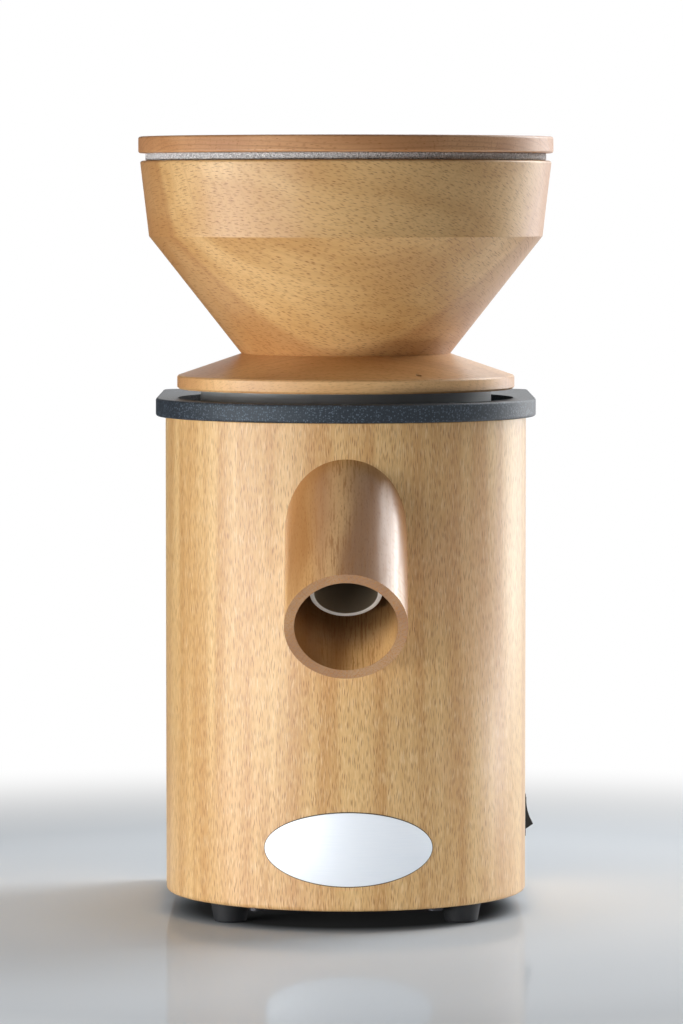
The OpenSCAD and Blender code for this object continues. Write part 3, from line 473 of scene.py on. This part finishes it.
def stackedSheets(look):
    paint = Paint("stackedSheets", Metallic=0.8)
    spot = paint.place()
    x, y, z = paint.split(spot)
    step = (z / look["sheet"]).math("FRACT")
    gap = 1 - step.smooth(0.06, 0.2) + step.smooth(0.9, 1.0)
    own = paint.add("ShaderNodeTexWhiteNoise", {"noise_dimensions": "1D"},
                    {"W": (z / look["sheet"]).math("FLOOR")})
    blue = paint.noise(spot, scale=0.3, detail=3)
    metal = paint.mix((gap * 0.8 + own * 0.3).math("MINIMUM", 1), look["base"], look["edge"])
    metal = paint.mix(blue.smooth(0.5, 0.8) * 0.3, metal, look["edge"])
    return paint.finish(Base_Color=metal, Roughness=0.42 + own * 0.2,
                        Normal=paint.bump(gap * -1.0, look["depth"]))


wireLook = {
    "base": colour(184, 98, 48),
    "shade": colour(110, 46, 20),
    "wire": 0.8,  # mm
    "depth": 0.25,
}


def woundCopper(look):
    paint = Paint("woundCopper", Metallic=0.7, Coat_Weight=0.5, Coat_Roughness=0.15)
    spot = paint.place(centre=(0, axisY / mm, 0))
    x, y, z = paint.split(spot)
    reach = reachOf(x, y)
    waver = paint.noise(spot, scale=0.12, detail=2) * 2.4
    strand = ((reach + z * 0.6 + waver) / look["wire"]).math("FRACT")
    hump = 1 - (strand - 0.5).math("ABSOLUTE") * 2
    metal = paint.mix(hump.smooth(0.1, 0.7), look["shade"], look["base"])
    cloud = paint.noise(spot, scale=0.2, detail=3)
    metal = paint.mix(cloud.smooth(0.5, 0.8) * 0.4, metal, look["shade"])
    return paint.finish(Base_Color=metal, Roughness=0.3 + cloud * 0.2,
                        Normal=paint.bump(hump, look["depth"], strength=0.8))


plasticLook = {
    "base": colour(22, 23, 26),
    "shade": colour(58, 58, 58),
    "roughness": 0.3,
    "refraction": 1.5,
    "depth": 0.02,  # mm
}
rubberLook = dict(plasticLook, roughness=0.5, depth=0.05)
whiteLook = dict(plasticLook, base=colour(232, 231, 226), shade=colour(206, 200, 188), roughness=0.35)
inkLook = dict(plasticLook, base=colour(10, 9, 8), shade=colour(24, 20, 18), roughness=0.9,
               refraction=1.1, depth=0.01)


def mouldedPlastic(name, look):
    paint = Paint(name, IOR=look["refraction"])
    spot = paint.place()
    grain = paint.noise(spot, scale=3.2, detail=3, roughness=0.65)
    cloud = paint.noise(spot, scale=0.07, detail=3)
    worn = grain.smooth(0.5, 0.85) * 0.3 + cloud.smooth(0.5, 0.8) * 0.25
    plastic = paint.mix(worn, look["base"], look["shade"])
    rough = look["roughness"] + grain * 0.15
    return paint.finish(Base_Color=plastic, Roughness=rough, Normal=paint.bump(grain, look["depth"]))


badgeLook = {
    "silver": colour(244, 249, 255),
    "shade": colour(232, 240, 250),
    "depth": 0.01,  # mm
}


def badgeSilver(look):
    paint = Paint("badgeSilver", Metallic=0.35, IOR=1.45)
    spot = paint.place()
    x, y, z = paint.split(spot)
    brush = paint.noise(paint.join(x * 0.05, y * 0.05, z * 6), detail=3, roughness=0.7)
    cloud = paint.noise(spot, scale=0.05, detail=2)
    silver = paint.mix(brush.smooth(0.4, 0.7) * 0.4 + cloud * 0.3, look["silver"], look["shade"])
    return paint.finish(Base_Color=silver, Roughness=0.48 + brush * 0.08,
                        Normal=paint.bump(brush, look["depth"], strength=0.2))


stoneLook = {
    "base": colour(214, 208, 194),
    "dark": colour(150, 144, 134),
    "white": colour(240, 238, 230),
    "grit": 1.3,  # mm
    "depth": 0.25,
}


def bondedStone(look):
    paint = Paint("bondedStone")
    spot = paint.place()
    grit, own = paint.cells(paint.stretch(spot, look["grit"], look["grit"]))
    fine = paint.noise(spot, scale=2.5, detail=4, roughness=0.7)
    stone = paint.mix(own.smooth(0.7, 0.9), look["base"], look["white"])
    stone = paint.mix(own.smooth(0.3, 0.1) * (1 - grit.smooth(0.2, 0.5)), stone, look["dark"])
    stone = paint.mix(fine.smooth(0.55, 0.8) * 0.4, stone, look["dark"])
    return paint.finish(Base_Color=stone, Roughness=0.85 + fine * 0.1,
                        Normal=paint.bump(fine + grit * -0.6, look["depth"], strength=0.8))


feltLook = {
    "pale": colour(255, 255, 255),
    "middle": colour(206, 208, 210),
    "dark": colour(70, 70, 72),
    "depth": 0.4,  # mm
}


def mottledFelt(look):
    paint = Paint("mottledFelt", Sheen_Weight=0.25, Sheen_Roughness=0.5)
    spot = paint.place()
    tuft = paint.noise(spot, scale=1.3, detail=2, roughness=0.7, distortion=0.4)
    hair = paint.noise(spot, scale=2.1, detail=2, roughness=0.7, distortion=0.4)
    felt = paint.mix(tuft.smooth(0.45, 0.6), look["middle"], look["pale"])
    felt = paint.mix(hair.smooth(0.48, 0.6) * 0.85, felt, look["dark"])
    return paint.finish(Base_Color=felt, Roughness=0.9 + hair * 0.1,
                        Normal=paint.bump(hair + tuft, look["depth"], strength=0.9))


finishAll(powderCoat("deckCoat", coatLook), "top_deck")
finishAll(powderCoat("sheetCoat", sheetCoat), "rear_panel", "base_plate")
finishAll(castMetal(castLook), "milling_chamber", "outlet_socket", "upper_end_shield", "lower_end_shield",
          "lower_stone_carrier", "upper_stone_carrier", "rotor_end_rings", "run_capacitor")
finishAll(collarMetal(collarLook), "adjusting_collar")
brightSteel = zincSteel("brightSteel", steelLook)
blackSteel = zincSteel("blackSteel", dict(steelLook, base=colour(62, 62, 66), worn=colour(92, 90, 90)))
finishAll(blackSteel, "tie_rods", "foot_screws", "foot_nuts")
finishAll(brightSteel, "panel_screws", "socket_screws", "chamber_bolts",
          "guide_pins", "motor_screws", "motor_bolts", "upper_bearing", "lower_bearing", "capacitor_clamp",
          "inlet_pins", "inlet_screws", "motor_shaft", "fan_circlip", "lower_stone_screws", "carrier_bolt",
          "wiper_blades", "upper_stone_screws", "carrier_circlip", "collar_screws", "finger_guard",
          "hopper_screws", "thread_ring")
finishAll(stackedSheets(sheetLook), "stator_core", "rotor_core")
finishAll(woundCopper(wireLook), "field_windings")
finishAll(mouldedPlastic("softRubber", rubberLook), "rubber_feet", "shaft_seal")
finishAll(mouldedPlastic("blackPlastic", plasticLook), "switch_housing", "switch_rocker", "power_inlet",
          "cooling_fan")
finishAll(mouldedPlastic("markInk", inkLook), "setting_marker")
whitePlastic = mouldedPlastic("whitePlastic", whiteLook)
silver = badgeSilver(badgeLook)
finishAll(silver, "badge_plate")
finishAll(bondedStone(stoneLook), "lower_stone", "upper_stone")
felt = mottledFelt(feltLook)
finishAll(felt, "lid_felt")
print("stage: metals, coats, plastics and stone finished")


# Pieces that take a CAD node's place, or that only the finish needs

def alone(piece=None):
    if bpy.context.object and bpy.context.object.mode != "OBJECT":
        bpy.ops.object.mode_set(mode="OBJECT")
    bpy.ops.object.select_all(action="DESELECT")
    if piece:
        piece.select_set(True)
        bpy.context.view_layer.objects.active = piece


def pick(piece, wanted):
    # edit mode, with only those faces selected that are wanted
    bpy.ops.object.mode_set(mode="EDIT")
    bpy.ops.mesh.select_mode(type="FACE")
    bpy.ops.mesh.select_all(action="DESELECT")
    bpy.ops.object.mode_set(mode="OBJECT")
    for face in piece.data.polygons:
        face.select = wanted(face)
    bpy.ops.object.mode_set(mode="EDIT")


def complete(piece, name, materials=(), angle=35):
    # modifiers and place go into the mesh
    alone(piece)
    for modifier in list(piece.modifiers):
        bpy.ops.object.modifier_apply(modifier=modifier.name)
    bpy.ops.object.transform_apply(location=True, rotation=True, scale=True)
    bpy.ops.object.shade_smooth_by_angle(angle=math.radians(angle))
    if materials:
        piece.data.materials.clear()
        for material in materials:
            piece.data.materials.append(material)
    piece.name = piece.data.name = name
    alone()
    return piece


def joined(pieces):
    alone(pieces[0])
    for piece in pieces:
        piece.select_set(True)
    bpy.ops.object.join()
    return bpy.context.object


panelScrewLook = {
    "headRadius": 3.6,  # mm
    "headHeight": 1.6,
    "rounding": 0.9,
    "shankRadius": 2,
    "length": 15,
    "crossReach": 1.9,
    "crossWidth": 0.8,
    "crossDepth": 1.1,
    "crossTaper": 0.4,  # share of the slots that is left at their bottom
    "turns": (12, 57, -20, 80, 35, -48),  # degrees, how each slot stands
}
inletScrewLook = dict(panelScrewLook, headRadius=3, headHeight=1.2, rounding=0.15, shankRadius=1.5,
                      length=8.5, crossReach=1.6, crossWidth=0.7, crossDepth=1, turns=(30, -15))


def makeScrew(look):
    # stands under z = 0, its head on top
    alone()
    radius, height = look["headRadius"] * mm, look["headHeight"] * mm
    bpy.ops.mesh.primitive_cylinder_add(vertices=48, radius=radius, depth=height,
                                        location=(0, 0, -height / 2))
    screw = bpy.context.object
    pick(screw, lambda face: face.normal.z > 0.9)
    bpy.ops.mesh.bevel(offset=look["rounding"] * mm, segments=4, affect="EDGES")
    pick(screw, lambda face: face.normal.z < -0.9)
    bpy.ops.mesh.inset(thickness=radius - look["shankRadius"] * mm)
    bpy.ops.mesh.extrude_region_move(TRANSFORM_OT_translate={"value": (0, 0, -look["length"] * mm)})
    for turn in (0, 90):
        alone()
        size = (look["crossReach"] * 2 * mm, look["crossWidth"] * mm, look["crossDepth"] * 2 * mm)
        bpy.ops.mesh.primitive_cube_add(size=1, rotation=(0, 0, math.radians(turn)), scale=size)
        cutter = bpy.context.object
        pick(cutter, lambda face: face.normal.z < -0.9)
        bpy.ops.transform.resize(value=(look["crossTaper"], look["crossTaper"], 1))
        alone(screw)
        cut = screw.modifiers.new("cross", "BOOLEAN")
        cut.object = cutter
        cut.solver = "EXACT"
        bpy.ops.object.modifier_apply(modifier=cut.name)
        bpy.data.objects.remove(cutter)
    return screw


def placeScrews(look, name, node, rows):
    # left and right, in rows between the lowest and the highest screw of the node
    low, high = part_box(node)
    reach = look["headRadius"] * mm
    top, bottom = high.z - reach, low.z + reach
    heights = [bottom + (top - bottom) * row for row in rows]
    places = [(x, high.y, z) for x in (low.x + reach, high.x - reach) for z in heights]
    first = makeScrew(look)
    twins = []
    for place, turn in zip(places, look["turns"]):
        twin = first.copy()
        twin.data = first.data.copy()
        bpy.context.scene.collection.objects.link(twin)
        twin.matrix_world = (Matrix.Translation(place) @ Matrix.Rotation(math.radians(-90), 4, "X")
                             @ Matrix.Rotation(math.radians(turn), 4, "Z"))
        twins.append(twin)
    bpy.data.objects.remove(first)
    screws = complete(joined(twins), name, (brightSteel,))
    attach(screws, "housing")
    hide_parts(node)


placeScrews(panelScrewLook, "panelScrews", "panel_screws", (0, 0.5, 1))
placeScrews(inletScrewLook, "inletScrews", "inlet_screws", (0.5,))
print("stage: screws modelled")


plateLook = {
    "slices": 42,  # upright slices, so that the sheet can bend
    "thick": 0.8,  # mm
    "edge": 0.28,
    "margin": 0.45,  # mm, by which the dark layer shows around the plate
    "backing": 0.3,  # mm, thickness of that layer
    "backingEdge": 0.05,
    "ahead": 20,  # mm from the wall to the flat oval that is laid on it
}
layerLook = dict(plasticLook, base=colour(58, 52, 48), shade=plasticLook["base"], roughness=0.6)


def makeOval(look, width, height, thickness, edge, middle):
    # an oval sheet laid round the body's front
    alone()
    bpy.ops.mesh.primitive_cylinder_add(vertices=720, radius=bodyRadius, depth=height * 2,
                                        location=(0, axisY, middle.z))
    former = bpy.context.object
    alone()
    bpy.ops.mesh.primitive_circle_add(vertices=160, radius=width / 2, fill_type="NGON",
                                      location=(middle.x, axisY - bodyRadius - look["ahead"] * mm, middle.z),
                                      rotation=(math.radians(90), 0, 0))
    oval = bpy.context.object
    oval.scale.y = height / width
    bpy.ops.object.transform_apply(location=True, rotation=True, scale=True)
    bpy.ops.object.mode_set(mode="EDIT")
    for step in range(1, look["slices"]):
        bpy.ops.mesh.select_all(action="SELECT")
        x = middle.x + width * (step / look["slices"] - 0.5)
        bpy.ops.mesh.bisect(plane_co=(x, 0, 0), plane_no=(1, 0, 0))
    alone(oval)
    wrap = oval.modifiers.new("wrap", "SHRINKWRAP")
    wrap.target = former
    wrap.wrap_method = "PROJECT"
    wrap.use_project_y = True
    wall = oval.modifiers.new("wall", "SOLIDIFY")
    wall.thickness = thickness
    wall.offset = 1
    rounding = oval.modifiers.new("rounding", "BEVEL")
    rounding.width = edge
    rounding.segments = 3
    rounding.limit_method = "ANGLE"
    rounding.angle_limit = math.radians(60)
    for modifier in list(oval.modifiers):
        bpy.ops.object.modifier_apply(modifier=modifier.name)
    bpy.data.objects.remove(former)
    return oval


def makePlate(look):
    low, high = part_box("badge_plate")
    middle = (low + high) / 2
    width, height = high.x - low.x, high.z - low.z
    darkLayer = mouldedPlastic("darkLayer", layerLook)
    backing = makeOval(look, width, height, look["backing"] * mm, look["backingEdge"] * mm, middle)
    backing.data.materials.append(darkLayer)
    width -= 2 * look["margin"] * mm
    height -= 2 * look["margin"] * mm
    front = makeOval(look, width, height, look["thick"] * mm, look["edge"] * mm, middle)
    front.data.materials.append(silver)
    ovalPlate = complete(joined([backing, front]), "ovalPlate", angle=50)
    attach(ovalPlate, "housing")
    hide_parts("badge_plate")


makePlate(plateLook)
print("stage: oval plate modelled")


markLook = {
    "axis": (87.5, 40, 44),  # mm from the mill's axis and the table, where the rocker turns
    "tilt": -14,  # degrees at rest
    "hollowRadius": 25,  # mm
    "hollowCentre": 32.8,
    "apart": 4.1,  # each mark's middle from the rocker's
    "height": 3.2,
    "line": 0.62,
    "raised": 0.1,
    "edge": 0.06,
}


def markPlace(look, up):
    # on the rocker's hollow face, up millimetres above its middle
    x, y, z = look["axis"]
    lean = math.asin(up / look["hollowRadius"])
    out = look["hollowCentre"] - look["hollowRadius"] * math.cos(lean)
    axle = Matrix.Translation((x * mm, axisY + y * mm, z * mm))
    return (axle @ Matrix.Rotation(math.radians(look["tilt"]), 4, "Y")
            @ Matrix.Translation((out * mm, 0, up * mm)) @ Matrix.Rotation(lean, 4, "Y"))


def makeMarks(look):
    # a line and a circle, on and off
    half = look["height"] / 2 * mm
    line = look["line"] * mm
    alone()
    bpy.ops.mesh.primitive_cube_add(size=1, scale=(look["raised"] * 2 * mm, line, half * 2))
    bar = bpy.context.object
    soften = bar.modifiers.new("soften", "BEVEL")
    soften.width = look["edge"] * mm
    soften.segments = 2
    bar.matrix_world = markPlace(look, -look["apart"]) @ Matrix.Diagonal((*bar.scale, 1))
    alone()
    bpy.ops.mesh.primitive_torus_add(major_radius=half - line / 2, minor_radius=line / 2,
                                     major_segments=48, minor_segments=10)
    circle = bpy.context.object
    bpy.ops.object.mode_set(mode="EDIT")
    bpy.ops.transform.resize(value=(1, 1, look["raised"] * 2 / look["line"]))
    bpy.ops.object.mode_set(mode="OBJECT")
    circle.matrix_world = markPlace(look, look["apart"]) @ Matrix.Rotation(math.radians(90), 4, "Y")
    alone(bar)
    bpy.ops.object.modifier_apply(modifier="soften")
    rockerMarks = complete(joined([bar, circle]), "rockerMarks", (whitePlastic,))
    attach(rockerMarks, "rocker")


makeMarks(markLook)
print("stage: switch marks modelled")


linerLook = {
    "radius": 18,  # mm
    "wall": 2.5,
    "edge": 0.4,
    "lean": 45,  # degrees
    "longer": 5.4,  # mm that the tube reaches further down the spout than a plain one
    "white": colour(232, 231, 226),
    "flour": colour(214, 206, 192),
    # painted shade on the liner's inner face, deep in the tube
    "insideShade": colour(104, 92, 74),
    "depth": 0.04,  # mm, of the surface's grain
}


def linerPlastic(look, centre):
    paint = Paint("linerPlastic", IOR=1.5)
    middle = tuple(value / mm for value in centre)
    u, v, w = paint.split(paint.place(middle, (math.radians(-look["lean"]), 0, 0)))
    reach = reachOf(u, v)
    bore = look["radius"] - look["wall"]
    # painted shade on the inner face of the liner
    insideShade = 1 - reach.smooth(bore + 0.1, bore + look["edge"])
    dust = paint.noise(paint.join(u, v, w * 0.3), scale=0.8, detail=3, roughness=0.65)
    plastic = paint.mix(dust.smooth(0.5, 0.8) * 0.4, look["white"], look["flour"])
    plastic = paint.mix(insideShade, plastic, look["insideShade"])
    return paint.finish(Base_Color=plastic, Roughness=0.42 + dust * 0.2 + insideShade * 0.3,
                        Normal=paint.bump(dust, look["depth"]))


def makeLiner(look):
    low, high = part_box("spout_liner")
    centre = (low + high) / 2
    lean = math.radians(look["lean"])
    width = look["radius"] * 2 * mm
    length = (high.z - low.z) / math.cos(lean) - width + look["longer"] * mm
    place = centre - Vector((0, math.sin(lean), math.cos(lean))) * (look["longer"] * mm / 2)
    alone()
    bpy.ops.mesh.primitive_cylinder_add(vertices=96, radius=width / 2, depth=length, end_fill_type="NOTHING",
                                        location=place, rotation=(-lean, 0, 0))
    tube = bpy.context.object
    wall = tube.modifiers.new("wall", "SOLIDIFY")
    wall.thickness = look["wall"] * mm
    wall.offset = -1
    rounding = tube.modifiers.new("rounding", "BEVEL")
    rounding.width = look["edge"] * mm
    rounding.segments = 3
    liner = complete(tube, "flourLiner", (linerPlastic(look, centre),), angle=80)
    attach(liner, "housing")
    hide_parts("spout_liner")


makeLiner(linerLook)
print("stage: liner modelled")


feltRingLook = {
    "wall": 8.5,  # mm
    "edge": 0.7,
    "rough": 0.35,
    "lump": 2.2,
    "level": 0.75,  # brightness of the lumps' texture where the surface stays as it is
}


def makeFeltRing(look):
    low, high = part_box("lid_felt")
    alone()
    bpy.ops.mesh.primitive_cylinder_add(vertices=256, radius=(high.x - low.x) / 2, depth=high.z - low.z,
                                        end_fill_type="NOTHING", location=(0, axisY, (low.z + high.z) / 2))
    ring = bpy.context.object
    wall = ring.modifiers.new("wall", "SOLIDIFY")
    wall.thickness = look["wall"] * mm
    wall.offset = -1
    rounding = ring.modifiers.new("rounding", "BEVEL")
    rounding.width = look["edge"] * mm
    rounding.segments = 3
    finer = ring.modifiers.new("finer", "SUBSURF")
    finer.subdivision_type = "SIMPLE"
    finer.levels = finer.render_levels = 2
    lumps = bpy.data.textures.new("feltLumps", "CLOUDS")
    lumps.noise_scale = look["lump"] * mm
    shift = ring.modifiers.new("shift", "DISPLACE")
    shift.texture = lumps
    shift.texture_coords = "LOCAL"
    shift.mid_level = look["level"]
    shift.strength = look["rough"] * mm
    felted = complete(ring, "feltRing", (felt,), angle=80)
    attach(felted, "lid")
    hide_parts("lid_felt")


makeFeltRing(feltRingLook)
print("stage: felt modelled")


# Floor, light and camera

roomLook = {
    "floorSize": 8.0,  # metres
    "floor": colour(236, 246, 255),
    "paintedShadow": colour(96, 96, 96),  # painted shadow on the floor right under the body
    "underFrom": 0.8,  # times the body's radius, where the painted shadow begins to fade, and where it ends
    "underTo": 1.05,
    "farFloor": colour(70, 70, 70),  # past fadeEnd, it only lights the mill; the camera sees the white there
    "gloss": 0.12,
    "glossRoughness": 0.07,
    "fadeStart": 0.28,  # metres from the mill, where the floor begins to run out into the white
    "fadeEnd": 0.7,
    "haze": 0.1,  # share of the white that the floor near the mill has as well
    "hazeFrom": 1.1,  # times the body's radius, where it begins, and where it is full
    "hazeTo": 1.9,
    "ambient": colour(255, 255, 255),
    "ambientStrength": 0.075,
    "darkSide": (-0.82, 0.57, 0.0),  # reflections from this side are dim, as from an unlit wall
    "darkFrom": 0.5,  # how squarely a reflection meets that side where it begins to dim, and where it is dim
    "darkTo": 0.8,
}


def makeFloor(look):
    bpy.ops.mesh.primitive_plane_add(size=look["floorSize"], location=(0, 0, 0))
    floor = bpy.context.object
    floor.name = "floor"
    paint = Paint("paleFloor")
    x, y, z = paint.split(paint.object)
    reach = reachOf(x, y)
    away = reach.smooth(look["fadeStart"], look["fadeEnd"])
    cloud = paint.noise(paint.object, scale=9, detail=2)
    pale = paint.mix(cloud * 0.15, look["floor"], (1, 1, 1, 1))
    pale = paint.mix(away, pale, look["farFloor"])
    # painted shadow: the floor is darker right under the body
    under = reachOf(x, y - axisY).smooth(bodyRadius * look["underFrom"], bodyRadius * look["underTo"])
    pale = paint.mix(1 - under, pale, look["paintedShadow"])
    matt = paint.add("ShaderNodeBsdfDiffuse", values={"Color": pale})
    gloss = paint.add("ShaderNodeBsdfGlossy",
                      values={"Color": (1, 1, 1, 1), "Roughness": look["glossRoughness"]})
    ground = paint.add("ShaderNodeMixShader", values={0: look["gloss"], 1: matt, 2: gloss})
    white = paint.add("ShaderNodeEmission", values={"Color": (1, 1, 1, 1), "Strength": 1.0})
    sideways = (x * look["darkSide"][0] + y * look["darkSide"][1]) / reach
    bright = 1 - sideways.smooth(look["darkFrom"], look["darkTo"])
    haze = reach.smooth(bodyRadius * look["hazeFrom"], bodyRadius * look["hazeTo"]) * look["haze"]
    share = (paint.seen(bright) * away.math("MAXIMUM", haze)).math("MINIMUM", 1)
    result = paint.add("ShaderNodeMixShader", values={0: share, 1: ground, 2: white})
    paint.tree.links.new(result.socket, paint.tree.nodes["Material Output"].inputs["Surface"])
    floor.data.materials.append(paint.material)
    floor.select_set(False)


def makeWorld(look):
    world = bpy.data.worlds.new("studio")
    bpy.context.scene.world = world
    world.use_nodes = True
    sky = NodeTree(world.node_tree)
    dim = sky.tree.nodes["Background"]
    dim.inputs["Color"].default_value = look["ambient"]
    dim.inputs["Strength"].default_value = look["ambientStrength"]
    outward = sky.add("ShaderNodeTexCoord", output="Generated")
    sideways = sky.add("ShaderNodeVectorMath", {"operation": "DOT_PRODUCT"},
                       {0: outward, 1: look["darkSide"]}, "Value")
    bright = 1 - sideways.smooth(look["darkFrom"], look["darkTo"])
    white = sky.add("ShaderNodeBackground", values={"Color": (1, 1, 1, 1), "Strength": 1.0})
    both = sky.add("ShaderNodeMixShader",
                   values={0: sky.seen(bright), 1: Wire(sky, dim.outputs[0]), 2: white})
    sky.tree.links.new(both.socket, sky.tree.nodes["World Output"].inputs["Surface"])


# Azimuth in degrees from the front, positive to the right; metres and watts
softboxes = {
    "sideBack": {"azimuth": -92, "height": 0.2, "distance": 1.5, "aim": 0.15, "width": 0.45, "tall": 0.4,
                 "watts": 0.8},
    "side": {"azimuth": -76, "height": 0.2, "distance": 1.5, "aim": 0.15, "width": 0.45, "tall": 0.4,
             "watts": 1.6},
    "sideFront": {"azimuth": -60, "height": 0.2, "distance": 1.5, "aim": 0.15, "width": 0.45, "tall": 0.4,
                  "watts": 1.5},
    "lowSide": {"azimuth": -68, "height": 0.08, "distance": 1.3, "aim": 0.1, "width": 0.7, "tall": 0.16,
                "watts": 4.9},
    "lowFront": {"azimuth": -40, "height": 0.07, "distance": 1.0, "aim": 0.09, "width": 0.4, "tall": 0.1,
                 "watts": 2.3},
    "lowMiddle": {"azimuth": -24, "height": 0.07, "distance": 1.1, "aim": 0.09, "width": 0.4, "tall": 0.1,
                  "watts": 0.3},
    "nearFront": {"azimuth": -52, "height": 0.07, "distance": 0.7, "aim": 0.12, "width": 0.25, "tall": 0.08,
                  "watts": 1.2},
    "nearMiddle": {"azimuth": 40, "height": 0.03, "distance": 0.42, "aim": 0.05, "width": 0.3, "tall": 0.04,
                   "watts": 0.32},
    "rim": {"azimuth": 136, "height": 0.3, "distance": 1.6, "aim": 0.2, "width": 0.7, "tall": 1.0,
            "watts": 5.5},
    "rimSide": {"azimuth": 118, "height": 0.3, "distance": 1.6, "aim": 0.2, "width": 0.7, "tall": 1.0,
                "watts": 2.3},
    "lowRim": {"azimuth": 122, "height": 0.08, "distance": 1.2, "aim": 0.1, "width": 0.5, "tall": 0.16,
               "watts": 1.05},
    "nearRim": {"azimuth": 100, "height": 0.04, "distance": 0.5, "aim": 0.05, "width": 0.2, "tall": 0.06,
                "watts": 0.36},
    "highRim": {"azimuth": 125, "height": 0.9, "distance": 1.2, "aim": 0.25, "width": 0.8, "tall": 0.8,
                "watts": 11.5},
    "back": {"azimuth": 170, "height": 1.2, "distance": 1.2, "aim": 0.25, "width": 0.9, "tall": 0.9,
             "watts": 3.6},
}

tableLight = ("nearFront", "nearMiddle")  # light off the table, which has no mirror image
besideMill = ("nearMiddle", "nearRim")  # so near that they light the mill only, not the floor


def makeSoftboxes():
    floorOnly = bpy.data.collections.new("floorOnly")
    floorOnly.objects.link(bpy.data.objects["floor"])
    floorOnly.collection_objects[0].light_linking.link_state = "EXCLUDE"
    for name, look in softboxes.items():
        turn = math.radians(look["azimuth"])
        outward = Vector((math.sin(turn), -math.cos(turn), 0))
        aim = Vector((0, axisY, look["aim"]))
        place = Vector((0, axisY, look["height"])) + outward * look["distance"]
        lamp = bpy.data.lights.new(name, "AREA")
        lamp.shape = "RECTANGLE"
        lamp.size = look["width"]
        lamp.size_y = look["tall"]
        lamp.energy = look["watts"]
        box = bpy.data.objects.new(name, lamp)
        box.location = place
        box.rotation_euler = (place - aim).to_track_quat("Z", "Y").to_euler()
        box.visible_camera = False
        box.visible_glossy = name not in tableLight
        if name in besideMill:
            box.light_linking.receiver_collection = floorOnly
        bpy.context.scene.collection.objects.link(box)


# The camera stands low and far in front, and looks slightly down
cameraLook = {
    "sideways": -0.0022,  # metres
    "distance": 2.683,
    "height": 0.367,
    "down": 3.47,  # degrees
    "lens": 183.8,  # mm
    "sensor": 36,
}


def makeCamera(look):
    lens = bpy.data.cameras.new("camera")
    lens.lens = look["lens"]
    lens.sensor_width = look["sensor"]
    camera = bpy.data.objects.new("camera", lens)
    camera.location = (look["sideways"], axisY - look["distance"], look["height"])
    camera.rotation_euler = (math.radians(90 - look["down"]), 0, 0)
    bpy.context.scene.collection.objects.link(camera)
    bpy.context.scene.camera = camera


makeFloor(roomLook)
makeWorld(roomLook)
makeSoftboxes()
makeCamera(cameraLook)
bpy.context.scene.view_settings.view_transform = "Standard"
print("stage: floor, light and camera set")
